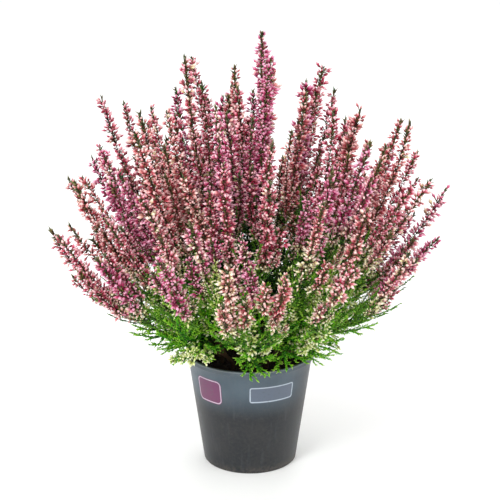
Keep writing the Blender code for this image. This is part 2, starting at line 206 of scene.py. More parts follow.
class Value:
    """A number's socket in a node tree, with which sums are written as plain expressions. Comparisons give 1 or 0, and
    at_least and at_most give the greater and the smaller of two."""

    def __init__(self, bench: "Bench", socket: NodeSocket) -> None:
        """Keeps the bench that the socket's tree is on."""
        self.bench = bench
        self.socket = socket

    def maths(self, operation: str, *terms: "Value | float", clamped: bool = False) -> "Value":
        """One Math node.

        Args:
            operation: the Math node's operation.
            terms: its terms, in order.
            clamped: whether the result is kept within 0 and 1.

        Returns:
            The node's result.
        """
        made = self.bench.node("ShaderNodeMath", dict(enumerate(terms)), operation=operation, use_clamp=clamped)
        return Value(self.bench, made.outputs[0])

    def of(self, operation: str) -> "Value":
        """An operation that takes this number alone."""
        return self.maths(operation, self)

    __add__ = __radd__ = operator("ADD")
    __sub__ = operator("SUBTRACT")
    __rsub__ = operator("SUBTRACT", swapped=True)
    __mul__ = __rmul__ = operator("MULTIPLY")
    __truediv__ = operator("DIVIDE")
    __gt__ = operator("GREATER_THAN")
    __lt__ = operator("LESS_THAN")
    at_least = operator("MAXIMUM")
    at_most = operator("MINIMUM")

    def share(self, start: float, end: float) -> "Value":
        """An even slope from 0 at start to 1 at end, kept within them."""
        return self.maths("MULTIPLY_ADD", self, 1 / (end - start), -start / (end - start), clamped=True)

    def eased(self, start: float, end: float) -> "Value":
        """A soft S from 0 at start to 1 at end."""
        t = self.share(start, end)
        return t * t * (3 - 2 * t)


Given = Value | NodeSocket | float | int | bool | str | Sequence[float]
Inputs = dict[str | int, Given]


class Bench:
    """Places the nodes of one tree."""

    def __init__(self, tree: NodeTree) -> None:
        """Keeps the tree."""
        self.tree = tree

    def node(self, kind: str, inputs: Inputs | None = None, **settings: object) -> Node:
        """Adds one node, sets it and then fills its sockets.

        Args:
            kind: the node's type.
            inputs: a value or a link for each socket, by the name of an enabled socket or by its number.
            settings: the node's properties. "stops" are the places and colours of a colour ramp.

        Returns:
            The node.
        """
        made = self.tree.nodes.new(kind)
        for name, setting in settings.items():
            if name == "stops":
                self._fill_ramp(made.color_ramp, setting)
            else:
                setattr(made, name, setting)
        self.fill(made, inputs or {})
        return made

    def fill(self, made: Node, inputs: Inputs) -> None:
        """Links the sockets of a node or sets their values.

        Args:
            made: the node.
            inputs: a value or a link for each socket, by the name of an enabled socket or by its number.
        """
        for key, given in inputs.items():
            socket = self._socket(made.inputs, key)
            if isinstance(given, Value):
                given = given.socket
            if isinstance(given, NodeSocket):
                self.tree.links.new(given, socket)
            elif socket.type == "RGBA":
                socket.default_value = (*given, 1.0)
            else:
                socket.default_value = given

    def output(self, kind: str, name: str, inputs: Inputs | None = None, **settings: object) -> Value:
        """Adds one node and returns its enabled output of this name, ready for sums."""
        return Value(self, self._socket(self.node(kind, inputs, **settings).outputs, name))

    def mixed(self, share: Given, one: Given, two: Given) -> Value:
        """A colour between two colours."""
        inputs = {"Factor": share, "A": one, "B": two}
        return self.output("ShaderNodeMix", "Result", inputs, data_type="RGBA", clamp_factor=True)

    def ramp(self, place: Given, colours: Stops) -> Value:
        """The colour of a ramp at this place."""
        return self.output("ShaderNodeValToRGB", "Color", {"Fac": place}, stops=colours)

    def noise(self, scale: float, detail: float, **more: Given) -> Value:
        """Cloudy noise of 0 to 1, with more of the noise node's inputs by name."""
        return self.output("ShaderNodeTexNoise", "Fac", {"Scale": scale, "Detail": detail, **more})

    def split(self, vector: Given) -> list[Value]:
        """The three numbers of a vector."""
        made = self.node("ShaderNodeSeparateXYZ", {"Vector": vector})
        return [Value(self, made.outputs[axis]) for axis in "XYZ"]

    def joined(self, x: Given, y: Given = 0.0) -> Value:
        """The vector of two numbers and 0."""
        return self.output("ShaderNodeCombineXYZ", "Vector", {"X": x, "Y": y})

    def vector(self, operation: str, one: Given, two: Given) -> Value:
        """One Vector Math node."""
        return self.output("ShaderNodeVectorMath", "Vector", {0: one, 1: two}, operation=operation)

    def known(self, name: str, kind: str = "FLOAT") -> Value:
        """A fact that the geometry's points or corners know."""
        return self.output("GeometryNodeInputNamedAttribute", "Attribute", {"Name": name}, data_type=kind)

    def stored(self, geometry: Given, name: str, value: Given, kind: str = "FLOAT", domain: str = "POINT") -> Value:
        """The geometry with one more fact that its points or corners know."""
        inputs = {"Geometry": geometry, "Name": name, "Value": value}
        return self.output("GeometryNodeStoreNamedAttribute", "Geometry", inputs, data_type=kind, domain=domain)

    def charted(self, geometry: Given, place: Given) -> Value:
        """The geometry with its corners at these places on the colour chart."""
        return self.stored(geometry, CHART, place, "FLOAT2", "CORNER")

    def random(self, kind: str, seed: Given, **limits: Given) -> Value:
        """A random value at each point, between its limits Min and Max."""
        return self.output("FunctionNodeRandomValue", "Value", {"Seed": seed, **limits}, data_type=kind)

    def swing(self, seed: Given, width: float = 2.0) -> Value:
        """A random number at each point, evenly to both sides of 0."""
        return (self.random("FLOAT", seed) - 0.5) * width

    def turned(self, place: Given, axis: Sequence[float], angle: Given) -> Value:
        """The rotation, turned further about its own axis."""
        turn = self.output("FunctionNodeAxisAngleToRotation", "Rotation", {"Axis": axis, "Angle": angle})
        return self.output("FunctionNodeRotateRotation", "Rotation", {0: place, 1: turn}, rotation_space="LOCAL")

    @staticmethod
    def _socket(sockets: Sequence[NodeSocket], key: str | int) -> NodeSocket:
        """The socket of this number, or the first enabled one of this name."""
        return sockets[key] if isinstance(key, int) else next(s for s in sockets if s.name == key and s.enabled)

    @staticmethod
    def _fill_ramp(ramp: ColorRamp, colours: Stops) -> None:
        """Gives a colour ramp these places and colours.

        Args:
            ramp: the ramp.
            colours: the place and colour of each stop.
        """
        while len(ramp.elements) > 1:
            ramp.elements.remove(ramp.elements[-1])
        for i, (place, colour) in enumerate(colours):
            stop = ramp.elements[0] if i == 0 else ramp.elements.new(place)
            stop.position, stop.color = place, (*colour, 1.0)


class Surface:
    """A material with a Principled shader."""

    def __init__(self, name: str, constants: dict[str, float | Colour]) -> None:
        """Makes the material.

        Args:
            name: its name.
            constants: the shader's values that are the same all over the surface.
        """
        self.material = bpy.data.materials.new(name)
        self.material.use_nodes = True
        self.bench = Bench(self.material.node_tree)
        self.shader = self.material.node_tree.nodes["Principled BSDF"]
        self.bench.fill(self.shader, constants)

    def finished(self, colour: Value, roughness: Value, bump: Inputs | None = None) -> Material:
        """Feeds the shader with what changes over the surface.

        Args:
            colour: the surface's colour.
            roughness: its roughness.
            bump: the inputs of its bump, where it has one.

        Returns:
            The material.
        """
        self.bench.fill(self.shader, {"Base Color": colour, "Roughness": roughness})
        if bump:
            self.bench.fill(self.shader, {"Normal": self.bench.output("ShaderNodeBump", "Normal", bump)})
        return self.material


INPUT_KINDS: dict[type, str] = {float: "Float", int: "Int", Collection: "Collection"}


class Recipe:
    """A Geometry Nodes tree with named inputs, which makes one plain mesh of an object."""

    def __init__(self, name: str, values: dict[str, object]) -> None:
        """Starts the tree.

        Args:
            name: its name.
            values: the inputs that stay the same, by name.
        """
        self.values = values
        self.tree = bpy.data.node_groups.new(name, "GeometryNodeTree")
        self.bench = Bench(self.tree)
        kinds = {title: INPUT_KINDS[type(value)] for title, value in values.items()}
        kinds = {"Start": "Geometry", **kinds, "Seed": "Int", "Finish": "Material"}
        side = self.tree.interface
        self.sockets = {
            title: side.new_socket(title, in_out="INPUT", socket_type=f"NodeSocket{kind}").identifier
            for title, kind in kinds.items()
        }
        side.new_socket("Geometry", in_out="OUTPUT", socket_type="NodeSocketGeometry")
        self.given = {s.name: Value(self.bench, s) for s in self.bench.node("NodeGroupInput").outputs}

    def joined(self, *layers: Value) -> Value:
        """Joins layers.

        Args:
            layers: the layers.

        Returns:
            One geometry without instances.
        """
        join = self.bench.node("GeometryNodeJoinGeometry")
        for layer in layers:
            self.tree.links.new(layer.socket, join.inputs[0])
        return self.bench.output("GeometryNodeRealizeInstances", "Geometry", {"Geometry": join.outputs[0]})

    def end(self, solid: Value) -> None:
        """Gives the geometry its material and puts it out."""
        inputs = {"Geometry": solid, "Material": self.given["Finish"]}
        self.bench.node("NodeGroupOutput", {0: self.bench.output("GeometryNodeSetMaterial", "Geometry", inputs)})

    def served(self, name: str, start: Object, seed: int, finish: Material) -> Object:
        """Makes a piece of an object, which goes.

        Args:
            name: the piece's name.
            start: the object.
            seed: the seed of the piece's random numbers.
            finish: its material.

        Returns:
            The piece, a plain mesh in the scene.
        """
        modifier = start.modifiers.new(name, "NODES")
        modifier.node_group = self.tree
        for title, value in {**self.values, "Seed": seed, "Finish": finish}.items():
            modifier[self.sockets[title]] = value
        mesh = worked_out(start)
        bpy.data.objects.remove(start)
        mesh.name = name
        return in_scene(bpy.data.objects.new(name, mesh))

    def put_away(self) -> None:
        """Removes the tree and the forms that it strewed, which no piece needs any more."""
        for store in self.values.values():
            if isinstance(store, Collection):
                for form in list(store.objects):
                    bpy.data.objects.remove(form)
                bpy.data.collections.remove(store)
        bpy.data.node_groups.remove(self.tree)


# ---------------------------------------------------------------- finishes


@dataclass(frozen=True)
class PlantFinish:
    """Bark, leaves and buds on one colour chart. Across the chart runs the tone of a twig, leaf or bud, and up each
    strip its own length from the base to the tip."""

    name: str
    bark: Stops
    leaf: Stops
    leaf_tip: Stops
    bud: Stops
    bud_tip: Stops
    dusk: Colour
    dusk_strength: float = 0.5
    paler: float = 0.20

    def material(self) -> Material:
        """The chart as a material.

        Returns:
            The material.
        """
        surface = Surface(self.name, {"Specular IOR Level": 0.25})
        bench = surface.bench
        tone, height, _ = bench.split(bench.output("ShaderNodeUVMap", "UV", uv_map=CHART))
        along = (height / STRIP_STEP).of("FRACT").share(*STRIP_SHARES)
        leafy, budded, pale, dusky = (
            height > band.value - STRIP_MARGIN for band in (Band.LEAF, Band.BUD, Band.PALE_BUD, Band.DUSKY_BUD)
        )
        pale = pale * (height < Band.PALE_BUD.value + STRIP + STRIP_MARGIN)
        # Leaves lighten towards their tips: partly their own paler tips, partly a painted highlight.
        leaf = bench.mixed(along.eased(0.25, 1.0), bench.ramp(tone, self.leaf), bench.ramp(tone, self.leaf_tip))
        # Buds pale towards their tips: partly their own paler tips, partly a painted highlight.
        paleness = (along + self.paler * pale - self.paler * dusky).eased(0.43, 0.98)
        bud = bench.mixed(paleness, bench.ramp(tone, self.bud), bench.ramp(tone, self.bud_tip))
        bud = bench.mixed(dusky * self.dusk_strength, bud, self.dusk)
        colour = bench.mixed(budded, bench.mixed(leafy, bench.ramp(tone, self.bark), leaf), bud)
        return surface.finished(colour, 0.72 - 0.24 * leafy + 0.08 * budded)


@dataclass(frozen=True)
class Panel:
    """A plain printed panel on the pot's wall: a rounded rectangle with an outline, and nothing in it."""

    bearing: float
    height: float
    half_width: float
    half_height: float
    corner: float
    colour: Colour
    outline: Colour
    line: float = 0.45 * MM
    inset: float = 0.9 * MM
    blur: float = 0.12 * MM
    cover: float = 0.92

    def printed(self, colour: Value, arc: Value, height: Value, radius: float, left: Value) -> Value:
        """The panel on the wall.

        Args:
            colour: the wall's colour.
            arc: the bearing from the front, in radians.
            height: the height on the wall.
            radius: the wall's radius at the panel.
            left: how much of the print is left: 0 on the wall's inside.

        Returns:
            The colour with the panel.
        """
        across = ((arc - self.bearing) * radius).of("ABSOLUTE") - (self.half_width - self.corner)
        upward = (height - self.height).of("ABSOLUTE") - (self.half_height - self.corner)
        out_across, out_up = across.at_least(0.0), upward.at_least(0.0)
        outside = (out_across * out_across + out_up * out_up).of("SQRT")
        edge = outside + across.at_least(upward).at_most(0.0) - self.corner
        line = (edge + self.inset).of("ABSOLUTE") - self.line
        colour = colour.bench.mixed(edge.share(self.blur, -self.blur) * left * self.cover, colour, self.colour)
        return colour.bench.mixed(line.share(self.blur, -self.blur) * left, colour, self.outline)


@dataclass(frozen=True)
class PotFinish:
    """Satin charcoal plastic with a painted grey-blue sheen high under the lip, two plain panels, dust, fine rubbing
    marks, a painted highlight along the lip and painted shade on the inside wall.
    """

    name: str = "satin_charcoal_plastic"
    charcoal: Colour = srgb(27, 31, 36)
    # painted sheen: the grey-blue reflection high on the wall, under the lip
    painted_sheen: Colour = srgb(76, 92, 104)
    # the inside wall's plain plastic, darkened below the outside's charcoal as painted shade
    inside: Colour = srgb(14, 14, 16)
    dust: Colour = srgb(104, 96, 86)
    scuff: Colour = srgb(112, 118, 126)
    # painted highlight: the lighter grey line along the top of the lip
    lip: Colour = srgb(132, 142, 150)
    panels: tuple[Panel, ...] = (
        Panel(math.radians(-43), 75 * MM, 13 * MM, 11 * MM, 4.5 * MM, srgb(112, 52, 92), srgb(196, 178, 196)),
        Panel(math.radians(22), 76 * MM, 20 * MM, 7.5 * MM, 2.5 * MM, srgb(92, 102, 118), srgb(176, 188, 200)),
    )
    # the heights over which the painted sheen fades in
    sheen: Range = (50 * MM, 80 * MM)
    lip_highlight_heights: Range = (96.6 * MM, 97.6 * MM)
    lip_highlight_radii: Range = (53.6 * MM, 54.4 * MM)
    low_dust: Range = (9 * MM, 0.0)
    high_dust: Range = (90 * MM, 97 * MM)

    def material(self, wall: Callable[[Value], Value], radius: float) -> Material:
        """The plastic as a material.

        Args:
            wall: gives the wall's outer radius at a height.
            radius: the wall's radius at the panels.

        Returns:
            The material.
        """
        surface = Surface(self.name, {"Specular IOR Level": 0.4})
        bench = surface.bench
        place = bench.output("ShaderNodeTexCoord", "Object")
        x, y, z = bench.split(place)
        arc, rho = x.maths("ARCTAN2", x, 0.0 - y), (x * x + y * y).of("SQRT")
        outer = (rho - wall(z)) > -0.5 * MM
        broad = bench.noise(38, 3, Vector=place)
        fine = bench.noise(420, 4, Vector=place)
        drawn = bench.noise(1.0, 3, Vector=bench.vector("MULTIPLY", place, (260, 260, 14)))
        # Painted sheen: a grey-blue reflection that fades in up the wall towards the lip. It is strongest from the
        # front round to the left and weaker towards the right and the back.
        facing = (1.0 - 0.75 * arc.eased(0.55, 1.25)) * (1.0 - 0.75 * arc.eased(-1.7, -2.5))
        band = z.eased(*self.sheen) * facing * (0.6 + 0.8 * broad).at_most(1.0)
        colour = bench.mixed(band * 0.92, self.charcoal, self.painted_sheen)
        colour = bench.mixed(drawn.share(0.55, 0.85) * 0.12 + fine.share(0.62, 0.8) * 0.05, colour, self.scuff)
        left = (1.0 - 0.35 * fine.share(0.58, 0.72)) * outer
        for panel in self.panels:
            colour = panel.printed(colour, arc, z, radius, left)
        # Painted highlight: a lighter grey line along the top of the lip, patchy with the broad noise.
        lip_highlight = z.share(*self.lip_highlight_heights) * rho.share(*self.lip_highlight_radii)
        # The inside wall gets its own plain colour, darkened as painted shade; print, painted sheen and scuffs stay on
        # the outside.
        colour = bench.mixed(outer, self.inside, colour)
        colour = bench.mixed(lip_highlight * (0.55 + 0.45 * broad), colour, self.lip)
        settled = z.eased(*self.low_dust) * 0.45 + z.eased(*self.high_dust) * 0.22
        dust = (settled + 0.10) * (broad * 0.6 + fine * 0.7).eased(0.45, 0.85)
        colour = bench.mixed(dust, colour, self.dust)
        roughness = 0.26 + 0.16 * fine + 0.10 * broad + 0.30 * dust
        bump = {"Strength": 0.10, "Distance": 0.4 * MM, "Height": fine + 0.5 * drawn}
        return surface.finished(colour, roughness, bump)


@dataclass(frozen=True)
class PeatFinish:
    """Damp dark peat with lighter fibres and crumbs."""

    name: str = "crumbly_peat"
    damp: Colour = srgb(18, 13, 10)
    dry: Colour = srgb(52, 37, 27)
    fibre: Colour = srgb(104, 80, 56)

    def material(self) -> Material:
        """The peat as a material.

        Returns:
            The material.
        """
        surface = Surface(self.name, {"Specular IOR Level": 0.2})
        bench = surface.bench
        place = bench.output("ShaderNodeTexCoord", "Object")
        cloud = bench.noise(90.0, 6.0, Vector=place, Roughness=0.7)
        crumb = bench.noise(620.0, 4.0, Vector=place)
        strand = bench.noise(1.0, 2.0, Vector=bench.vector("MULTIPLY", place, (900, 170, 900)))
        colour = bench.mixed((cloud * 0.6 + crumb * 0.5).eased(0.42, 0.72), self.damp, self.dry)
        colour = bench.mixed(strand.share(0.66, 0.72) * 0.7, colour, self.fibre)
        bump = {"Strength": 0.6, "Distance": 0.8 * MM, "Height": cloud + 0.6 * crumb}
        return surface.finished(colour, 0.98 - 0.25 * cloud, bump)


SPIKE_BARK = stops((0.0, 50, 34, 28), (0.45, 86, 66, 46), (0.75, 92, 104, 48), (1.0, 140, 164, 70))
SPIKE_LEAF = stops(
    (0.0, 36, 12, 18), (0.25, 64, 38, 28), (0.42, 84, 76, 36), (0.58, 74, 84, 60),
    (0.7, 24, 60, 16), (0.85, 52, 116, 20), (1.0, 112, 168, 34),
)
SPIKE_LEAF_TIP = stops(
    (0.0, 92, 36, 48), (0.25, 112, 80, 54), (0.42, 150, 140, 70), (0.58, 142, 150, 122),
    (0.7, 64, 116, 40), (0.85, 136, 200, 52), (1.0, 206, 236, 104),
)
YOUNG_BUD = stops((0.0, 84, 90, 46), (0.16, 186, 196, 104), (0.28, 228, 218, 156), (0.40, 228, 218, 156))
YOUNG_BUD_TIP = stops(
    (0.0, 150, 160, 96), (0.16, 236, 242, 176), (0.28, 252, 250, 222), (0.40, 253, 246, 224), (0.55, 252, 226, 216)
)


def bud_finish(name: str, blush: Colour, full: Colour, deep: Colour, tip: Colour, dusk: Colour) -> PlantFinish:
    """The finish of one kind of flower spike.

    Args:
        name: the material's name.
        blush: the colour of buds that begin to colour.
        full: the colour of most buds.
        deep: the colour of the ripest buds.
        tip: the pale colour of their tips, partly their own and partly a painted highlight.
        dusk: the colour of shaded and dried buds.

    Returns:
        The finish.
    """
    body = (*YOUNG_BUD, (0.55, blush), (0.74, full), (1.0, deep))
    ends = (*YOUNG_BUD_TIP, (0.74, tip), (1.0, tuple(between(a, b, 0.4) for a, b in zip(tip, deep))))
    return PlantFinish(name, SPIKE_BARK, SPIKE_LEAF, SPIKE_LEAF_TIP, body, ends, dusk)


FOLIAGE_FINISH = PlantFinish(
    name="heather_foliage",
    bark=stops((0.0, 48, 34, 26), (0.35, 88, 66, 44), (0.7, 96, 122, 44), (1.0, 164, 186, 82)),
    leaf=stops(
        (0.0, 4, 14, 3), (0.25, 8, 46, 4), (0.5, 32, 112, 6),
        (0.7, 80, 174, 12), (0.88, 138, 212, 28), (1.0, 190, 220, 96),
    ),
    leaf_tip=stops(
        (0.0, 10, 32, 6), (0.25, 26, 90, 8), (0.5, 92, 188, 20),
        (0.7, 166, 232, 48), (0.88, 222, 248, 112), (1.0, 246, 252, 200),
    ),
    bud=stops(
        (0.0, 126, 166, 50), (0.25, 226, 236, 136), (0.5, 236, 236, 160), (0.75, 244, 226, 176), (1.0, 228, 154, 140)
    ),
    bud_tip=stops(
        (0.0, 200, 222, 108), (0.25, 253, 255, 218), (0.5, 254, 254, 226), (0.75, 255, 248, 228), (1.0, 250, 220, 208)
    ),
    dusk=srgb(150, 168, 70),
    dusk_strength=0.4,
)
BUD_COLOURS: dict[Slot, tuple[str, tuple[tuple[int, int, int], ...]]] = {
    Slot.ROSE: ("rose_buds", ((214, 126, 132), (206, 64, 98), (158, 22, 58), (254, 206, 214), (70, 20, 26))),
    Slot.MAGENTA: ("magenta_buds", ((214, 130, 146), (200, 62, 112), (158, 24, 84), (252, 190, 216), (76, 18, 40))),
    Slot.BLUSH: ("blush_buds", ((216, 138, 130), (204, 82, 96), (162, 38, 58), (254, 212, 208), (78, 38, 26))),
}


# ---------------------------------------------------------------- the plant's plan


@dataclass
class Spike:
    """One flower spike: its disc place, where its line ends and begins, and its bow."""

    place: Vector
    end: float
    start: float
    bow: Vector


@dataclass
class Spray:
    """Two spikes on one short stalk, which stands on one shoot of a leafy stem."""

    spikes: list[Spike]
    place: Vector = field(init=False)
    start: float = field(init=False)

    def __post_init__(self) -> None:
        """Places the stalk between its spikes."""
        self.place = (self.spikes[0].place + self.spikes[1].place) / 2
        self.start = (self.spikes[0].start + self.spikes[1].start) / 2


@dataclass
class Stem:
    """A leafy stem that divides into three shoots with a spray on each."""

    sprays: list[Spray]
    place: Vector = field(init=False)

    def __post_init__(self) -> None:
        """Places the stem amid its sprays."""
        self.place = sum((spray.place for spray in self.sprays), Vector((0, 0))) / len(self.sprays)


Rings = tuple[tuple[float, int, float], ...]


@dataclass(frozen=True)
class GrowthPlan:
    """The lines that the whole plant grows along. They fan out from the crown, and a place on a disc picks one."""

    peat_top: float = 88 * MM
    crown_height: float = 5 * MM
    crown_core: float = 2.5 * MM
    crown_spread: float = 28 * MM
    mid_length: float = 262 * MM
    edge_length: float = 178 * MM
    edge_lean: float = math.radians(68)
    lean_power: float = 1.3
    turn_up: float = 0.5
    inner_rings: Rings = ((0.09, 4, 45), (0.27, 8, 22), (0.45, 12, 15))
    outer_rings: Rings = ((0.62, 20, 9), (0.78, 20, 0), (0.94, 20, 9))
    inner_stems: int = 4
    outer_stems: int = 10
    ring_jitter: float = 0.02
    bearing_jitter: float = math.radians(3.5)
    first_fork: Range = (0.04, 0.24)
    second_fork_end: float = 0.56
    spike_start: float = 0.36
    spike_start_jitter: float = 0.03
    tips: Range = (0.84, 1.06)
    largest_bow: float = 0.035
    seed: int = 11

    def grown(self, disc: Vector, share: float) -> Vector:
        """The point that a growth line has reached.

        Args:
            disc: the line's place on the disc.
            share: the share of the line's length.

        Returns:
            The point.
        """
        rho = max(disc.length, 0.01)
        lean = self.edge_lean * rho**self.lean_power
        turn = lean * self.turn_up
        length = self.mid_length - (self.mid_length - self.edge_length) * rho**2
        outward = (math.cos(lean - turn * share) - math.cos(lean)) / turn
        upward = (math.sin(lean) - math.sin(lean - turn * share)) / turn
        radius = self.crown_core + self.crown_spread * rho + length * outward
        way = disc / rho
        return Vector((way.x * radius, way.y * radius, self.peat_top + self.crown_height + length * upward))

    def _shoot_place(self, stem: Stem, spray: Spray, share: float) -> Vector:
        """The disc place of a shoot, which passes from its stem's to its spray's."""
        return stem.place.lerp(spray.place, smooth(share, *self.first_fork))

    def shoot_point(self, stem: Stem, spray: Spray, share: float) -> Vector:
        """A point of the shoot that carries this spray."""
        return self.grown(self._shoot_place(stem, spray, share), share)

    def spike_point(self, stem: Stem, spray: Spray, spike: Spike, share: float) -> Vector:
        """A point of a spike's axis: on its spray's line at first, then on its own.

        Args:
            stem: the spike's stem.
            spray: its spray.
            spike: the spike.
            share: the share of the growth line's length.

        Returns:
            The point.
        """
        part = smooth(share, spray.start, self.second_fork_end)
        bow = spike.bow * math.sin(math.pi * (share - spray.start) / (spike.end - spray.start))
        return self.grown(self._shoot_place(stem, spray, share).lerp(spike.place, part) + bow, share)

    def _ring(self, rho: float, count: int, first: float, draw: random.Random) -> list[Vector]:
        """The disc places of one ring, a little off an even spacing.

        Args:
            rho: the ring's radius.
            count: its number of places.
            first: the bearing of the first one, in degrees.
            draw: the plan's random numbers.

        Returns:
            The places.
        """
        places = []
        for i in range(count):
            radius = rho + draw.uniform(-self.ring_jitter, self.ring_jitter)
            jitter = draw.uniform(-self.bearing_jitter, self.bearing_jitter)
            places.append(on_disc(radius, math.radians(first) + FULL_TURN * i / count + jitter))
        return places

    def _spike(self, place: Vector, draw: random.Random) -> Spike:
        """A spike with its own ends and bow.

        Args:
            place: its disc place.
            draw: the plan's random numbers.

        Returns:
            The spike.
        """
        end = draw.uniform(*self.tips)
        start = self.spike_start + draw.uniform(-self.spike_start_jitter, self.spike_start_jitter)
        return Spike(place, end, start, on_disc(draw.uniform(0, self.largest_bow), draw.uniform(0, FULL_TURN)))

    def stems(self) -> list[Stem]:
        """All stems with their sprays and spikes, where the CAD model has them.

        Returns:
            The stems, in the order of their nodes.
        """
        draw = random.Random(self.seed)
        inner, outer = ([self._ring(*ring, draw) for ring in rings] for rings in (self.inner_rings, self.outer_rings))
        groups = []
        for k in range(self.inner_stems):
            near, middle, far = inner[0][k : k + 1], inner[1][2 * k : 2 * k + 2], inner[2][3 * k : 3 * k + 3]
            groups.append([*near, *middle, far[2], far[0], far[1]])
        for k in range(self.outer_stems):
            groups.append([place for ring in outer for place in ring[2 * k : 2 * k + 2]])
        made = []
        for places in groups:
            spikes = [self._spike(place, draw) for place in places]
            made.append(Stem([Spray(spikes[i : i + 2]) for i in (0, 2, 4)]))
        return made


# ---------------------------------------------------------------- leaves, buds and twigs


@dataclass(frozen=True)
class Organ:
    """One leaf, stalk or bud: a closed slim form that grows up from its foot, in one strip of the chart. Without a
    ring at height 0 its foot is a point."""

    band: Band
    length: float
    width: float
    widest: float = 0.0
    sides: int = 3
    first_corner: float = 0.3
    chart_turn: float = 0.4
    chart_width: float = 0.010
    chart_height: float = 0.03

    def add_to(self, bm: bmesh.types.BMesh, place: Matrix, shade: float) -> None:
        """Adds the form to a mesh that has a chart and shades.

        Args:
            bm: the mesh.
            place: where the form's foot stands and how it leans.
            shade: its tone as a share of its twig's tone.
        """
        chart, shades = bm.loops.layers.uv[CHART], bm.verts.layers.float["shade"]
        tip = bm.verts.new(place @ Vector((0, 0, self.length)))
        spots = {tip: (0.0, 1.0)}
        ring = []
        for i in range(self.sides):
            angle = FULL_TURN * i / self.sides + self.first_corner
            x, y = self.width * math.cos(angle), self.width * math.sin(angle)
            corner = bm.verts.new(place @ Vector((x, y, self.widest * self.length)))
            angle += self.chart_turn
            spots[corner] = (self.chart_width * math.cos(angle), self.widest + self.chart_height * math.sin(angle))
            ring.append(corner)
        pairs = list(zip(ring, ring[1:] + ring[:1]))
        if self.widest > 0:
            foot = bm.verts.new(place.translation)
            spots[foot] = (0.0, 0.0)
            faces = [bm.faces.new((foot, after, corner)) for corner, after in pairs]
        else:
            faces = [bm.faces.new(ring[::-1])]
        faces += [bm.faces.new((corner, after, tip)) for corner, after in pairs]
        for face in faces:
            face.smooth = True
            for loop in face.loops:
                loop.vert[shades] = shade
                across, along = spots[loop.vert]
                loop[chart].uv = (across, self.band.value + STRIP * along)


@dataclass(frozen=True)
class Sprout:
    """An organ's place in a tuft: how high its foot stands, its tilt and turn in degrees, and its shade."""

    organ: Organ
    height: float = 0.0
    tilt: float = 0.0
    turn: float = 0.0
    shade: float = 1.0

    def place(self) -> Matrix:
        """Where its foot stands and how it leans."""
        turned = Matrix.Rotation(math.radians(self.turn), 4, "Z") @ Matrix.Rotation(math.radians(self.tilt), 4, "X")
        return Matrix.Translation((0, 0, self.height)) @ turned


@dataclass(frozen=True)
class Tuft:
    """Organs that grow from one foot. Geometry Nodes strew the tufts."""

    name: str
    sprouts: tuple[Sprout, ...]

    @classmethod
    def of(cls, name: str, stalk: float, *rows: tuple[Organ | float, ...]) -> "Tuft":
        """A tuft from a table.

        Args:
            name: its name.
            stalk: the length of its stalk in millimetres, or 0.
            rows: an organ, the height of its foot in millimetres and the rest of its place.

        Returns:
            The tuft.
        """
        stalks = (Sprout(Organ(Band.BARK, stalk * MM, 0.24 * MM)),) if stalk else ()
        return cls(name, (*stalks, *(Sprout(organ, height * MM, *rest) for organ, height, *rest in rows)))

    def build(self) -> Object:
        """The tuft as an object, with its own places on the colour chart.

        Returns:
            The object.
        """
        bm = bmesh.new()
        bm.loops.layers.uv.new(CHART)
        bm.verts.layers.float.new("shade")
        for sprout in self.sprouts:
            sprout.organ.add_to(bm, sprout.place(), sprout.shade)
        bmesh.ops.triangulate(bm, faces=bm.faces)
        return bpy.data.objects.new(self.name, mesh_from(self.name, bm))


BUD_WIDEST = 0.58
ROUND_BUD = Organ(Band.BUD, 4.6 * MM, 0.98 * MM, BUD_WIDEST, 4)
SLIM_BUD = Organ(Band.BUD, 4.9 * MM, 0.90 * MM, BUD_WIDEST)
PALE_BUD = Organ(Band.PALE_BUD, 4.6 * MM, 0.90 * MM, BUD_WIDEST, 4)
DUSKY_BUD = Organ(Band.DUSKY_BUD, 4.0 * MM, 0.98 * MM, BUD_WIDEST)
BRACT = Organ(Band.LEAF, 3.2 * MM, 0.62 * MM)
BUDS = (
    Tuft.of(
        "buds_a", 4, (PALE_BUD, 2.8, 6), (ROUND_BUD, 1.6, 42, 120, 1.05), (SLIM_BUD, 2.1, -38, 140, 0.93),
        (BRACT, 1.0, 40, 10, 0.5),
    ),
    Tuft.of(
        "buds_b", 4, (ROUND_BUD, 2.5, -14, 40), (PALE_BUD, 1.3, 50, 80, 0.95), (DUSKY_BUD, 1.8, -44, 60),
        (BRACT, 0.6, -34, 0, 0.6),
    ),
    Tuft.of("buds_c", 3, (SLIM_BUD, 2.0, 16, 0, 1.06), (PALE_BUD, 1.0, -36, 30), (BRACT, 1.2, 44, 90, 0.55)),
    Tuft.of("buds_d", 3, (ROUND_BUD, 1.8, 10, 200, 0.94), (DUSKY_BUD, 0.8, 46, 10)),
    Tuft.of("buds_e", 0, (PALE_BUD, 0.0), (BRACT, 0.2, 34, 90, 0.5)),
    Tuft.of("buds_f", 0, (SLIM_BUD, 0.0, 0, 0, 1.04), (DUSKY_BUD, 0.2, 48, 30)),
)
LEAVES = (
    Tuft.of("leaf_a", 0, (Organ(Band.LEAF, 3.3 * MM, 0.84 * MM), 0.0)),
    Tuft.of("leaf_b", 0, (Organ(Band.LEAF, 2.8 * MM, 0.92 * MM), 0.0)),
    Tuft.of("leaf_c", 0, (Organ(Band.LEAF, 3.8 * MM, 0.76 * MM), 0.0)),
)


@dataclass(frozen=True)
class Dressing:
    """Leaves or buds at one point of a twig: their size, tone and splay in degrees, and the share that grew."""

    size: float = 1.0
    tone: float = 0.5
    splay: float = 45.0
    share: float = 0.0


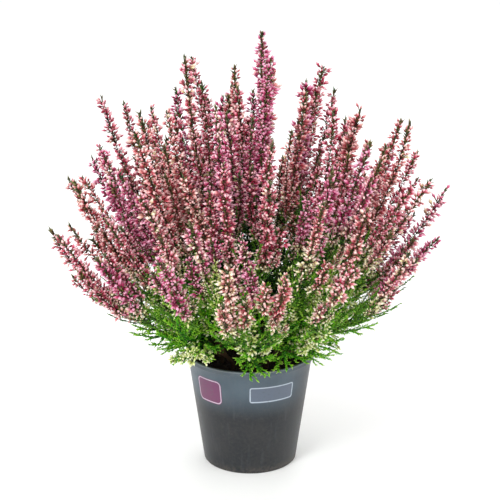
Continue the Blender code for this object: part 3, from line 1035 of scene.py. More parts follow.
@dataclass(frozen=True)
class Wear:
    """One point of a twig: its thickness, the tone of its bark, and its leaves and buds."""

    girth: float
    bark: float
    leaf: Dressing = Dressing()
    bud: Dressing = Dressing()

    def facts(self) -> dict[str, float]:
        """All its numbers, by the names that the dresser's tree knows them by.

        Returns:
            The numbers.
        """
        known = {"girth": self.girth, "bark": self.bark}
        for part, worn in (("leaf", self.leaf), ("bud", self.bud)):
            numbers = (worn.size, worn.tone, math.radians(worn.splay), worn.share)
            known |= {f"{part}_{fact}": number for fact, number in zip(("size", "tone", "splay", "share"), numbers)}
        return known


@dataclass(frozen=True)
class Line:
    """The axis of a twig, from its foot to its tip."""

    points: list[Vector]

    @classmethod
    def bowed(cls, root: Vector, steps: int, *reaches: tuple[Vector, float, float]) -> "Line":
        """A line that reaches out several ways at once.

        Args:
            root: its foot.
            steps: its number of steps.
            reaches: a way, how much of it is gone evenly, and how much more or less of it later on.

        Returns:
            The line.
        """
        points = []
        for s in shares(steps):
            point = root
            for way, early, late in reaches:
                point = point + way * (early * s + late * s * s)
            points.append(point)
        return cls(points)

    def fork(self, share: float, turn: float = 0.0) -> "Fork":
        """Where a side twig leaves the line.

        Args:
            share: the share of the line's length.
            turn: the side that the twig leaves to.

        Returns:
            The fork.
        """
        at = share * (len(self.points) - 1)
        i = min(int(at), len(self.points) - 2)
        here, after = self.points[i], self.points[i + 1]
        along = (after - here).normalized()
        return Fork(share, here.lerp(after, at - i), along, Quaternion(along, turn) @ along.orthogonal().normalized())


@dataclass(frozen=True)
class Fork:
    """Where a side twig leaves another: the share of the other's length, the point, the direction along the other
    and the direction square to it to which the twig leaves."""

    share: float
    root: Vector
    along: Vector
    side: Vector


def outward(place: Vector, turn: float) -> Vector:
    """The level direction away from the plant's middle, turned by an angle."""
    return Quaternion(UP, turn) @ Vector((place.x, place.y, 0)).normalized()


@dataclass
class TwigBundle:
    """Twigs that become one piece, and the random numbers that they grow by."""

    draw: random.Random
    twigs: list[list[tuple[Vector, Wear]]] = field(default_factory=list)

    def add(self, line: Line, wear: Callable[[float], Wear]) -> None:
        """Adds one twig, from its line and what it wears at each share of it."""
        self.twigs.append([(point, wear(s)) for point, s in zip(line.points, shares(len(line.points) - 1))])

    def guide(self, name: str) -> Object:
        """The twigs as bare lines whose points know what they wear.

        Args:
            name: the object's name.

        Returns:
            An object of edges with one attribute for each thing that the points know.
        """
        edges, headings, first = [], [], 0
        for twig in self.twigs:
            last = len(twig) - 1
            edges += [(first + i, first + i + 1) for i in range(last)]
            headings += [(twig[min(i + 1, last)][0] - twig[max(i - 1, 0)][0]).normalized() for i in range(last + 1)]
            first += last + 1
        mesh = bpy.data.meshes.new(name)
        mesh.from_pydata([point for twig in self.twigs for point, _ in twig], edges, [])
        known = [wear.facts() for twig in self.twigs for _, wear in twig]
        for fact in known[0]:
            values = [facts[fact] for facts in known]
            mesh.attributes.new(fact, "FLOAT", "POINT").data.foreach_set("value", values)
        heading = mesh.attributes.new("heading", "FLOAT_VECTOR", "POINT")
        heading.data.foreach_set("vector", [number for way in headings for number in way])
        return in_scene(bpy.data.objects.new(name, mesh))


SPARE_FACTS = ("tone", "shade", "across", "beside", "along", "heading", "girth", "bark", "leaf_", "bud_")


@dataclass
class TwigDresser:
    """Grows bark, leaves and buds along guide lines, by one Geometry Nodes tree."""

    twig_sides: int = 3
    wood_sides: int = 8
    wood_girth: float = 0.75 * MM
    leaf_pitch: float = 0.92 * MM
    bud_pitch: float = 1.06 * MM
    size_jitter: float = 0.24
    tone_jitter: float = 0.15
    splay_jitter: float = 0.42
    twist_jitter: float = 1.8
    tones: Range = (0.04, 0.90)
    bark_turn: float = 0.4
    bark_width: float = 0.008
    recipe: Recipe = field(init=False)

    def __post_init__(self) -> None:
        """Builds the tufts and the tree once."""
        inputs = {
            "leaf forms": self._store("leaf_forms", LEAVES),
            "bud forms": self._store("bud_forms", BUDS),
            "leaf pitch": self.leaf_pitch,
            "bud pitch": self.bud_pitch,
            "twig sides": self.twig_sides,
            "wood sides": self.wood_sides,
            "wood girth": self.wood_girth,
            "size jitter": self.size_jitter,
            "tone jitter": self.tone_jitter,
            "splay jitter": self.splay_jitter,
        }
        self.recipe = Recipe("dress_twigs", inputs)
        self._write()

    @staticmethod
    def _store(name: str, tufts: Sequence[Tuft]) -> Collection:
        """Builds tufts.

        Args:
            name: the collection's name.
            tufts: the tufts.

        Returns:
            Their objects in a collection that the scene doesn't show.
        """
        made = bpy.data.collections.new(name)
        for tuft in tufts:
            made.objects.link(tuft.build())
        return made

    def _write(self) -> None:
        """Bark tubes, leaves and buds, realized, laid on the chart and given their finish."""
        bench, given = self.recipe.bench, self.recipe.given
        lines = bench.output("GeometryNodeMeshToCurve", "Curve", {"Mesh": given["Start"]})
        inputs = {"Geometry": lines, "Selection": bench.known("girth") > given["wood girth"]}
        parted = bench.node("GeometryNodeSeparateGeometry", inputs, domain="CURVE").outputs
        solid = self.recipe.joined(
            self._bark(parted["Selection"], given["wood sides"]),
            self._bark(parted["Inverted"], given["twig sides"]),
            self._layer(lines, "leaf", len(LEAVES), 1),
            self._layer(lines, "bud", len(BUDS), 2),
        )
        shift = bench.joined(bench.known("tone") * bench.known("shade"))
        solid = bench.charted(solid, bench.vector("ADD", bench.known(CHART, "FLOAT_VECTOR"), shift))
        self.recipe.end(bench.output("GeometryNodeSetShadeSmooth", "Geometry", {"Geometry": solid}))

    def _bark(self, lines: Given, sides: Given) -> Value:
        """Closed tubes along the lines, on the chart's bark strip.

        Args:
            lines: the guide lines as curves.
            sides: the tubes' number of sides.

        Returns:
            The tubes.
        """
        bench = self.recipe.bench
        inputs = {"Resolution": sides, "Radius": 1.0}
        ring = bench.output("GeometryNodeCurvePrimitiveCircle", "Curve", inputs, mode="RADIUS")
        turn = bench.output("GeometryNodeSplineParameter", "Factor") * FULL_TURN + self.bark_turn
        ring = bench.stored(ring, "across", turn.of("COSINE") * self.bark_width)
        ring = bench.stored(ring, "beside", turn.of("SINE") * self.bark_width)
        lines = bench.stored(lines, "along", bench.output("GeometryNodeSplineParameter", "Factor"))
        inputs = {"Curve": lines, "Profile Curve": ring, "Scale": bench.known("girth"), "Fill Caps": True}
        tube = bench.output("GeometryNodeCurveToMesh", "Mesh", inputs)
        height = Band.BARK.value + STRIP_MARGIN + 0.12 * bench.known("along") + bench.known("beside")
        tube = bench.charted(tube, bench.joined(bench.known("across"), height))
        return bench.stored(bench.stored(tube, "shade", 1.0), "tone", bench.known("bark"))

    def _layer(self, lines: Given, part: str, count: int, number: int) -> Value:
        """Leaves or buds round the lines.

        Args:
            lines: the guide lines as curves.
            part: "leaf" or "bud", which begins the names of the tree's inputs and of the points' facts.
            count: how many forms there are.
            number: a number of the layer's own, for its random numbers.

        Returns:
            The layer's instances.
        """
        bench, given = self.recipe.bench, self.recipe.given
        seed = given["Seed"] * 16 + 100 * number
        inputs = {"Curve": lines, "Length": given[f"{part} pitch"]}
        spots = bench.output("GeometryNodeResampleCurve", "Curve", inputs, mode="LENGTH")
        swing = bench.swing(seed + 1) * bench.random("FLOAT", seed + 2)
        tone = bench.known(f"{part}_tone") + swing * 2.2 * given["tone jitter"]
        spots = bench.stored(spots, "tone", tone.at_least(self.tones[0]).at_most(self.tones[1]))
        inputs = {"Vector": bench.known("heading", "FLOAT_VECTOR")}
        place = bench.output("FunctionNodeAlignRotationToVector", "Rotation", inputs, axis="Z")
        index = bench.output("GeometryNodeInputIndex", "Index")
        round_turn = index * GOLDEN_TURN + bench.random("FLOAT", seed + 3) * self.twist_jitter
        place = bench.turned(place, (0.0, 0.0, 1.0), round_turn)
        splay = bench.known(f"{part}_splay") + bench.swing(seed + 4) * given["splay jitter"]
        place = bench.turned(place, (1.0, 0.0, 0.0), splay)
        place = bench.turned(place, (0.0, 0.0, 1.0), bench.swing(seed + 5, self.twist_jitter))
        tufted = bench.noise(190.0, 1.0).share(0.30, 0.70) * 0.4 + 0.8
        size = bench.known(f"{part}_size") * tufted * (1.0 + bench.swing(seed + 6) * given["size jitter"])
        grew = bench.random("FLOAT", seed + 7) < bench.known(f"{part}_share")
        inputs = {"Collection": given[f"{part} forms"], "Separate Children": True, "Reset Children": True}
        forms = bench.output("GeometryNodeCollectionInfo", "Instances", inputs, transform_space="ORIGINAL")
        inputs = {
            "Points": spots,
            "Selection": grew,
            "Instance": forms,
            "Pick Instance": True,
            "Instance Index": bench.random("INT", seed + 8, Min=0, Max=count - 1),
            "Rotation": place,
            "Scale": size,
        }
        return bench.output("GeometryNodeInstanceOnPoints", "Instances", inputs)

    def dress(self, name: str, bundle: TwigBundle, finish: Material, seed: int) -> Object:
        """Grows a bundle of twigs into one plain mesh.

        Args:
            name: the piece's name.
            bundle: its twigs.
            finish: its material.
            seed: the seed of its random numbers.

        Returns:
            The piece.
        """
        piece = self.recipe.served(name, bundle.guide(name + "_guide"), seed, finish)
        facts = piece.data.attributes
        for spare in [fact.name for fact in facts if fact.name.startswith(SPARE_FACTS)]:
            facts.remove(facts[spare])
        return piece


# ---------------------------------------------------------------- flower sprays


@dataclass(frozen=True)
class Habit:
    """How one spike differs from the next: ripeness and thickness of its buds, the leafy share of its foot and the
    share in which its buds colour above that, where its green tip begins, the tones of its leaves and bracts, and the
    share of bracts among its buds."""

    ripeness: float
    thickness: float
    leafy: float
    colouring: float
    greening: float
    leaf_tone: float
    bract_tone: float
    bract_share: float

    @classmethod
    def drawn(cls, draw: random.Random, place: Vector, thickness: float = 1.0) -> "Habit":
        """A habit at random.

        Args:
            draw: the random numbers.
            place: the spike's disc place. The outer spikes, most of all those at the front right, are leafy and pale
                further up.
            thickness: the mean size of the buds.

        Returns:
            The habit.
        """
        outer = smooth(place.length, 0.4, 0.8)
        ahead = smooth(-place.y, 0.1, 0.8)
        front_right = smooth(place.normalized().dot(on_disc(1.0, math.radians(-52))), 0.72, 1.0)
        fresh = outer * max(front_right, 0.75 * ahead)
        return cls(
            ripeness=draw.choice((0.0, 0.06, 0.12, 0.17, -0.04, -0.10)) - 0.12 * fresh,
            thickness=thickness * draw.uniform(0.96, 1.16),
            leafy=draw.uniform(0.03, between(0.12, 0.2, outer)) + 0.36 * fresh,
            colouring=draw.uniform(0.08, 0.25) + 0.12 * fresh,
            greening=draw.uniform(0.78, 0.95),
            leaf_tone=between(0.70, 0.84, outer) + 0.08 * fresh,
            bract_tone=draw.choice((0.1, 0.28, 0.42, 0.5)),
            bract_share=draw.choice((0.18, 0.32, 0.60)),
        )

    def coloured(self, t: float, extra: float = 0.0) -> float:
        """How far the buds have coloured at this share of a spike."""
        return smooth(t, self.leafy, self.leafy + self.colouring + extra)


@dataclass
class FlowerSprays:
    """The forty-two sprays: spikes thick with buds, with short side racemes low down."""

    plan: GrowthPlan
    dresser: TwigDresser
    axis_girth: float = 0.62 * MM
    tip_girth: float = 0.25 * MM
    steps: int = 20
    sunk: float = 0.012
    side_spikes: tuple[int, ...] = (1, 2, 2)
    side_foot: Range = (0.08, 0.26)
    side_tip: Range = (0.60, 0.86)
    side_gap: Range = (9 * MM, 17 * MM)
    side_steps: int = 12
    side_thickness: float = 0.9
    racemes: int = 3
    raceme_length: Range = (14 * MM, 28 * MM)
    raceme_top: float = 0.38
    leafy_twigs: int = 6
    leafy_twig_length: Range = (22, 38)
    seed: int = 501
    bundle: TwigBundle = field(init=False)

    def build(self, stems: Sequence[Stem], finishes: dict[Slot, Material]) -> None:
        """Builds one piece for each spray.

        Args:
            stems: the plant's stems.
            finishes: the material of each kind of spike.
        """
        slots = list(finishes)
        sprays = [(stem, spray) for stem in stems for spray in stem.sprays]
        for number, (stem, spray) in enumerate(sprays, 1):
            self.bundle = TwigBundle(random.Random(self.seed + number))
            for spike, sunk in zip(spray.spikes, (0.0, self.sunk)):
                points = [
                    self.plan.spike_point(stem, spray, spike, between(spray.start + sunk, spike.end, s))
                    for s in shares(self.steps)
                ]
                self._grow_spike(Line(points), spike.place)
            slot = slots[(number + (number - 1) // 3) % 3]
            piece = self.dresser.dress(f"budded_spray_{number:02d}", self.bundle, finishes[slot], self.seed + number)
            set_up(piece, f"flower_spray_{number:02d}", slot)

    def _grow_spike(self, line: Line, place: Vector) -> None:
        """One spike with its side spikes, side racemes and leafy twigs.

        Args:
            line: the spike's axis.
            place: its disc place.
        """
        draw = self.bundle.draw
        habit = Habit.drawn(draw, place)
        self.bundle.add(line, lambda t: self._worn(t, habit))
        turn = draw.uniform(0, FULL_TURN)
        for _ in range(draw.choice(self.side_spikes)):
            turn += GOLDEN_TURN + draw.uniform(-0.5, 0.5)
            self._grow_side_spike(line, turn, place)
        for i in range(self.racemes):
            t = between(max(0.05, 0.8 * habit.leafy), self.raceme_top, (i + draw.uniform(0.2, 0.8)) / self.racemes)
            turn += GOLDEN_TURN + draw.uniform(-0.4, 0.4)
            self._grow_raceme(line.fork(t, turn), habit)
        count = round(self.leafy_twigs * ease(habit.leafy, 1.0, 1.5, 0.22, 0.45))
        for i in range(count):
            t = between(0.01, max(0.26, habit.leafy), (i + draw.random()) / count)
            turn += GOLDEN_TURN + draw.uniform(-0.4, 0.4)
            self._grow_leafy_twig(line.fork(t, turn), habit.leaf_tone)

    def _worn(self, t: float, habit: Habit) -> Wear:
        """What a spike wears at this share of its length.

        Args:
            t: the share.
            habit: the spike's habit.

        Returns:
            Its bracts and buds.
        """
        fullness = ease(t, 0.8, 1.08, 0.03, 0.2) * ease(t, 1.0, 1.04, 0.4, 0.9)
        fullness *= ease(t, 1.0, 0.82, 0.9, 1.0)
        green = smooth(t, habit.greening, habit.greening + 0.16)
        coloured = habit.coloured(t)
        tone = between(0.32, 0.78, coloured) + habit.ripeness * habit.coloured(t, 0.1)
        grown = between(1.0, 0.72, green) * smooth(t, habit.leafy - 0.02, habit.leafy + 0.05) * (t < 0.97)
        buds = Dressing(
            fullness * habit.thickness,
            between(tone, 0.74, 0.75 * green),
            between(72, 56, t) - 18 * smooth(t, 0.78, 1.0),
            grown,
        )
        bracts = Dressing(
            ease(t, 1.1, 1.05, 0.0, 0.3) * between(1.0, 1.42, green) * ease(t, 1.0, 0.9, 0.96, 1.0),
            between(between(habit.leaf_tone, habit.bract_tone, coloured), 0.50, smooth(t, habit.greening, 0.95)),
            between(50, 48, t) - 16 * smooth(t, 0.94, 1.0),
            max(between(1.0, habit.bract_share, coloured), smooth(t, 0.66, 0.88)),
        )
        girth = between(self.axis_girth, self.tip_girth, t)
        return Wear(girth, ease(t, 0.75, 0.2, 0.05, 0.4), bracts, buds)

    def _grow_side_spike(self, line: Line, turn: float, place: Vector) -> None:
        """A lesser spike that leaves the main one low down and runs up beside it.

        Args:
            line: the main spike's axis.
            turn: the side that it leaves to.
            place: the main spike's disc place.
        """
        draw = self.bundle.draw
        habit = Habit.drawn(draw, place, self.side_thickness)
        low, high = draw.uniform(*self.side_foot), draw.uniform(*self.side_tip)
        gap = draw.uniform(*self.side_gap)
        side = line.fork(low, turn).side
        points = []
        for s in shares(self.side_steps):
            away = gap * math.sin(min(s * 1.25, 1.0) * math.pi / 2)
            points.append(line.fork(between(low, high, s)).root + side * away)
        self.bundle.add(Line(points), lambda t: self._worn(t, habit))

    @staticmethod
    def _branch(fork: Fork, length: float, steps: int) -> Line:
        """The line of a side twig, which leaves its spike at a slant and bends up along it."""
        return Line.bowed(fork.root, steps, (fork.side * length, 0.62, -0.28), (fork.along * length, 0.55, 0.35))

    def _grow_raceme(self, fork: Fork, habit: Habit) -> None:
        """A short side twig of a spike that is in bud.

        Args:
            fork: where it leaves the spike.
            habit: the spike's habit.
        """
        length = self.bundle.draw.uniform(*self.raceme_length) * between(1.15, 0.8, fork.share / 0.4)
        foot_tone = between(0.32, 0.66, habit.coloured(fork.share))

        def worn(s: float) -> Wear:
            """What it wears at this share of its length.

            Args:
                s: the share.

            Returns:
                Its bark, leaves and buds.
            """
            tone = between(foot_tone, 0.72, 0.5 * s) + habit.ripeness * 0.6
            bracts = Dressing(0.85, between(0.82, 0.5, s), 42, between(0.9, 0.5, s))
            buds = Dressing(between(0.92, 0.56, s), tone, between(80, 38, s), 0.95 * (s > 0.18))
            return Wear(between(0.4, 0.2, s) * MM, 0.7, bracts, buds)

        self.bundle.add(self._branch(fork, length, 6), worn)

    def _grow_leafy_twig(self, fork: Fork, leaf_tone: float) -> None:
        """A short side twig of a spike that only carries leaves.

        Args:
            fork: where it leaves the spike.
            leaf_tone: the tone of the spike's leaves.
        """
        length = self.bundle.draw.uniform(*self.leafy_twig_length) * MM
        light = leaf_tone + self.bundle.draw.uniform(-0.18, 0.06)

        def worn(s: float) -> Wear:
            """What it wears at this share of its length."""
            leaves = Dressing(between(1.0, 0.74, s), between(light, light + 0.14, s), between(48, 30, s), 1.0)
            return Wear(between(0.36, 0.18, s) * MM, 0.75, leaves)

        self.bundle.add(self._branch(fork, length, 4), worn)


# ---------------------------------------------------------------- leafy stems


@dataclass
class LeafyStems:
    """The fourteen leafy stems: woody below, feathery with side sprigs above, and loose over the pot's lip."""

    plan: GrowthPlan
    dresser: TwigDresser
    foot_depth: float = 12 * MM
    foot_girth: float = 1.9 * MM
    top_girth: float = 0.95 * MM
    sprigs: int = 11
    inner_sprigs: int = 17
    sprig_zone: Range = (0.16, 0.985)
    sprig_length: Range = (36, 32)
    skirt_sprigs: int = 3
    skirt_zone: Range = (0.06, 0.42)
    skirt_length: Range = (34, 52)
    upright_sprigs: int = 5
    upright_zone: Range = (0.34, 0.96)
    upright_length: Range = (44, 66)
    twiglets: int = 5
    clear_top: float = 112 * MM
    clear_back: float = -14 * MM
    clear_sides: Range = (-34 * MM, 44 * MM)
    steps: int = 12
    seed: int = 901
    bundle: TwigBundle = field(init=False)

    def build(self, stems: Sequence[Stem], finish: Material) -> None:
        """Builds one piece for each stem.

        Args:
            stems: the plant's stems.
            finish: the foliage's material.
        """
        for number, stem in enumerate(stems, 1):
            self.bundle = TwigBundle(random.Random(self.seed + number))
            for i, spray in enumerate(stem.sprays):
                self._grow_shoot(stem, spray, first=i == 0)
            piece = self.dresser.dress(f"feathery_stem_{number:02d}", self.bundle, finish, self.seed + number)
            set_up(piece, f"leafy_stem_{number:02d}", Slot.FOLIAGE)

    def _grow_shoot(self, stem: Stem, spray: Spray, first: bool) -> None:
        """One shoot from the peat to its spray, with its sprigs.

        Args:
            stem: the stem.
            spray: the spray on the shoot.
            first: whether it is the stem's first shoot, which goes down into the peat.
        """
        draw = self.bundle.draw
        start, end = 0.0 if first else 0.02, spray.start - 0.001
        line = Line([self.plan.shoot_point(stem, spray, between(start, end, s)) for s in shares(self.steps)])

        def worn(s: float) -> Wear:
            """What the shoot wears at this share of its length.

            Args:
                s: the share.

            Returns:
                Its bark, leaves and buds.
            """
            share = between(start, end, s)
            slim = ease(share, self.foot_girth, self.top_girth, 0.0, 0.24) * (1.0 if first else 0.8)
            return Wear(slim, between(0.12, 0.6, share / end), Dressing(1.0, 0.30, 48, 0.8 * (share > 0.08)))

        self.bundle.add(line, worn)
        if first:
            top = self.plan.grown(stem.place, 0)
            foot = Vector((top.x, top.y, self.plan.peat_top - self.foot_depth))
            self.bundle.twigs[-1].insert(0, (foot, Wear(self.foot_girth, 0.05)))
        edge = smooth(stem.place.length, 0.3, 0.8)
        front = edge * smooth(-spray.place.y, 0.15, 0.6)
        turn = draw.uniform(0, FULL_TURN)
        count = round(between(self.inner_sprigs, self.sprigs, edge))
        for i in range(count):
            turn += GOLDEN_TURN + draw.uniform(-0.3, 0.3)
            t = (i + draw.uniform(0.1, 0.9)) / count
            self._grow_sprig(line.fork(between(*self.sprig_zone, t), turn), edge)
        for i in range(round(self.skirt_sprigs * edge)):
            t = between(*self.skirt_zone, (i + draw.random()) / self.skirt_sprigs)
            self._grow_skirt_sprig(line.fork(t).root)
        for i in range(round(self.upright_sprigs * front)):
            t = between(*self.upright_zone, (i + draw.random()) / self.upright_sprigs)
            self._grow_upright_sprig(line.fork(t).root)

    def _veils_inside(self, root: Vector) -> bool:
        """Whether a low sprig from here would hang before the pot's inside, which shows at the front."""
        left, right = self.clear_sides
        return root.z < self.clear_top and root.y < self.clear_back and left < root.x < right

    def _grow_sprig(self, fork: Fork, edge: float) -> None:
        """A sprig that leaves its shoot at a slant and bends up.

        Args:
            fork: where it leaves the shoot.
            edge: 0 at the plant's middle, 1 at its edge.
        """
        if self._veils_inside(fork.root):
            return
        draw, side = self.bundle.draw, fork.side.copy()
        if side.z < -0.35:
            side.z *= 0.3
            side.normalize()
        length = between(*self.sprig_length, fork.share) * MM * draw.uniform(0.75, 1.25)
        slant = draw.uniform(0.62, 0.85)
        budded = edge > 0.4 and draw.random() < 0.18
        line = Line.bowed(fork.root, 6, (side * length, slant, -0.26), (fork.along * length, 0.42, 0.30))
        # Painted shade: sprigs in the plant's middle and low on their shoot get darker leaves.
        light = between(0.04, 0.54, edge * 0.75 + fork.share * 0.25) * draw.uniform(0.7, 1.25)
        self._dress_sprig(line, length, light, between(0.3, 1.0, edge), budded)

    def _grow_skirt_sprig(self, root: Vector) -> None:
        """A low sprig that reaches out over the pot's lip and sags.

        Args:
            root: where it leaves its shoot.
        """
        draw = self.bundle.draw
        if self._veils_inside(root) and draw.random() < 0.8:
            return
        out = outward(root, draw.uniform(-0.75, 0.75))
        length = draw.uniform(*self.skirt_length) * MM
        rise, sag = draw.uniform(0.30, 0.42), draw.uniform(0.16, 0.46)
        line = Line.bowed(root, 7, (out * length * 0.92, 1.0, 0.0), (UP * length, rise, -sag))
        self._dress_sprig(line, length, draw.uniform(0.40, 0.60), 1.0, draw.random() < 0.22)

    def _grow_upright_sprig(self, root: Vector) -> None:
        """A long bright sprig that stands before the lowest flowers at the plant's front.

        Args:
            root: where it leaves its shoot.
        """
        draw = self.bundle.draw
        out = outward(root, draw.uniform(-0.6, 0.6))
        budded = draw.random() < 0.6
        length = draw.uniform(*self.upright_length) * MM * (1.25 if budded else 1.0)
        lean = draw.uniform(0.5, 0.85)
        line = Line.bowed(root, 8, (out * length * lean, 1.7, -1.0), (UP * length, 0.62, 0.24))
        self._dress_sprig(line, length, draw.uniform(0.38, 0.72), 1.0, budded)

    def _dress_sprig(self, line: Line, length: float, light: float, glow: float, budded: bool) -> None:
        """Leaves, twiglets and perhaps cream buds along one sprig.

        Args:
            line: the sprig's axis.
            length: its length.
            light: the tone of its leaves at the foot.
            glow: how much brighter they may get towards the tip, from 0 to 1: partly young growth, partly a painted
                highlight.
            budded: whether its outer half is in bud.
        """
        draw = self.bundle.draw
        # The leaves at the sprig's tip are much lighter than at its foot: partly young growth, partly a painted
        # highlight.
        fresh = min(light + draw.uniform(0.16, 0.50) * glow, 0.88)

        def worn(s: float) -> Wear:
            """What the sprig wears at this share of its length.

            Args:
                s: the share.

            Returns:
                Its bark, leaves and buds.
            """
            left, grown = 0.5 if budded and s > 0.3 else 1.0, 0.9 if budded and s > 0.22 else 0.0
            # The leaves at the sprig's foot are darker, as painted shade.
            leaves = Dressing(between(1.1, 0.84, s), between(0.6 * light, fresh, s), between(46, 28, s), left)
            buds = Dressing(between(1.2, 0.8, s), between(0.44, 0.20, s), between(66, 38, s), grown)
            return Wear(between(0.5, 0.22, s) * MM, between(0.55, 0.9, s), leaves, buds)

        self.bundle.add(line, worn)
        sway = draw.choice((-1, 1))
        for i in range(self.twiglets):
            s = (i + 0.6 + draw.uniform(-0.2, 0.2)) / (self.twiglets + 0.8)
            fork = line.fork(s)
            across = Quaternion(fork.along, draw.uniform(-0.6, 0.6)) @ fork.along.cross(UP).normalized() * sway
            sway = -sway
            reach = length * draw.uniform(0.22, 0.36) * between(1.0, 0.6, s)
            twiglet = Line.bowed(fork.root, 2, (across * reach, 0.7, -0.15), (fork.along * reach, 0.6, 0.2))
            # Twiglet tips are lighter still: partly young growth, partly a painted highlight.
            tones = (between(0.6 * light, fresh, s), fresh + 0.16 * glow)
            self.bundle.add(twiglet, lambda q: self._twiglet_worn(q, *tones))

    @staticmethod
    def _twiglet_worn(s: float, foot_tone: float, tip_tone: float) -> Wear:
        """What a twiglet wears at this share of its length."""
        leaves = Dressing(between(1.0, 0.74, s), between(foot_tone, tip_tone, s), between(46, 28, s), 1.0)
        return Wear(between(0.3, 0.16, s) * MM, 0.85, leaves)


# ---------------------------------------------------------------- pot and peat


Profile = list[tuple[float, float]]


@dataclass
class Pot:
    """The grower's pot: a tapered wall under a rolled lip, a foot ring, a centre pad and drain holes."""

    rim_radius: float = 55 * MM
    height: float = 98 * MM
    foot_radius: float = 39.5 * MM
    wall: float = 1.2 * MM
    lip_width: float = 2.2 * MM
    lip_depth: float = 4 * MM
    lip_round: float = 0.9 * MM
    lip_edge: float = 0.5 * MM
    mouth_round: float = 0.6 * MM
    foot_round: float = 1.2 * MM
    foot_edge: float = 0.3 * MM
    floor_top: float = 3 * MM
    floor_corner: float = 1.5 * MM
    foot_ring: float = 5 * MM
    pad_radius: float = 14 * MM
    slope: float = 0.5 * MM
    recess: float = 1.5 * MM
    outer_heights: tuple[float, ...] = (86, 74, 62, 50, 38, 26, 14, 7, 3)
    inner_heights: tuple[float, ...] = (4.5, 20, 40, 60, 80)
    holes: int = 6
    hole_radius: float = 3.5 * MM
    hole_circle: float = 26 * MM
    segments: int = 112
    panel_height: float = 75 * MM

    def outer_radius(self, height: float | Value) -> float | Value:
        """The outer radius of the tapered wall at this height."""
        taper = (self.rim_radius - self.lip_width - self.foot_radius) / (self.height - self.lip_depth)
        return height * taper + self.foot_radius

    @staticmethod
    def _corner(centre: tuple[float, float], radius: float, start: float, end: float, steps: int = 4) -> Profile:
        """An arc of the profile, from one bearing to another in degrees."""
        angles = (math.radians(between(start, end, share)) for share in shares(steps))
        return [(centre[0] + radius * math.cos(a), centre[1] + radius * math.sin(a)) for a in angles]

    def _profile(self) -> Profile:
        """The profile, from the top of the lip down the outside, under the foot and up the inside.

        Returns:
            The profile's radii and heights.
        """
        top, lip, pad = self.height, self.rim_radius, self.pad_radius
        mouth, below = self.outer_radius(top) - self.wall, top - self.lip_depth
        under, foot = self.outer_radius(below), self.foot_radius - self.foot_ring
        profile = self._corner((lip - self.lip_round, top - self.lip_round), self.lip_round, 90, 0)
        profile += self._corner((lip - self.lip_edge, below + self.lip_edge), self.lip_edge, 0, -90, 3)
        profile += [(under + self.lip_edge, below), (under, below - self.lip_edge)]
        profile += [(self.outer_radius(height * MM), height * MM) for height in self.outer_heights]
        ball = (self.outer_radius(self.foot_round) - self.foot_round, self.foot_round)
        profile += self._corner(ball, self.foot_round, 0, -90)
        profile += [(foot + self.foot_edge, 0.0), (foot, self.foot_edge), (foot - self.slope, self.recess)]
        profile += [(pad + self.slope, self.recess), (pad, self.foot_edge), (pad - self.foot_edge, 0.0), (0.0, 0.0)]
        floor_radius = self.outer_radius(self.floor_top) - self.wall - self.floor_corner
        profile += [(0.0, self.floor_top), (floor_radius, self.floor_top)]
        profile += [(self.outer_radius(height * MM) - self.wall, height * MM) for height in self.inner_heights]
        return profile + self._corner((mouth + self.mouth_round, top - self.mouth_round), self.mouth_round, 180, 90, 3)

    def build(self, finish: PotFinish) -> Object:
        """Turns the profile and drills the drain holes.

        Args:
            finish: the plastic.

        Returns:
            The piece.
        """
        bm = bmesh.new()
        verts = [bm.verts.new((radius, 0, height)) for radius, height in self._profile()]
        edges = [bm.edges.new(pair) for pair in zip(verts, verts[1:] + verts[:1])]
        turn = {"axis": UP, "cent": (0, 0, 0), "angle": FULL_TURN, "steps": self.segments, "use_merge": True}
        bmesh.ops.spin(bm, geom=verts + edges, **turn)
        bmesh.ops.remove_doubles(bm, verts=bm.verts, dist=0.01 * MM)
        bmesh.ops.dissolve_degenerate(bm, edges=bm.edges, dist=0.001 * MM)
        bmesh.ops.recalc_face_normals(bm, faces=bm.faces)
        piece = in_scene(bpy.data.objects.new("grower_pot", mesh_from("grower_pot", bm)))
        self._drill(piece)
        piece.data.shade_smooth()
        piece.data.set_sharp_from_angle(angle=math.radians(40))
        piece.data.materials.clear()
        piece.data.materials.append(finish.material(self.outer_radius, self.outer_radius(self.panel_height)))
        set_up(piece, "pot", Slot.POT)
        return piece

    def _drill(self, piece: Object) -> None:
        """Cuts the drain holes through the floor.

        Args:
            piece: the pot.
        """
        bm = bmesh.new()
        drill = {"segments": 20, "radius1": self.hole_radius, "radius2": self.hole_radius, "depth": 9 * MM}
        for i in range(self.holes):
            bearing = FULL_TURN * (i + 0.5) / self.holes
            x, y = self.hole_circle * math.cos(bearing), self.hole_circle * math.sin(bearing)
            spot = Matrix.Translation((x, y, self.floor_top / 2))
            bmesh.ops.create_cone(bm, cap_ends=True, matrix=spot, **drill)
        cutter = in_scene(bpy.data.objects.new("drill", mesh_from("drill", bm)))
        cut = piece.modifiers.new("drain_holes", "BOOLEAN")
        cut.operation, cut.solver, cut.object = "DIFFERENCE", "EXACT", cutter
        drilled = worked_out(piece)
        piece.modifiers.clear()
        piece.data = drilled
        bpy.data.objects.remove(cutter)


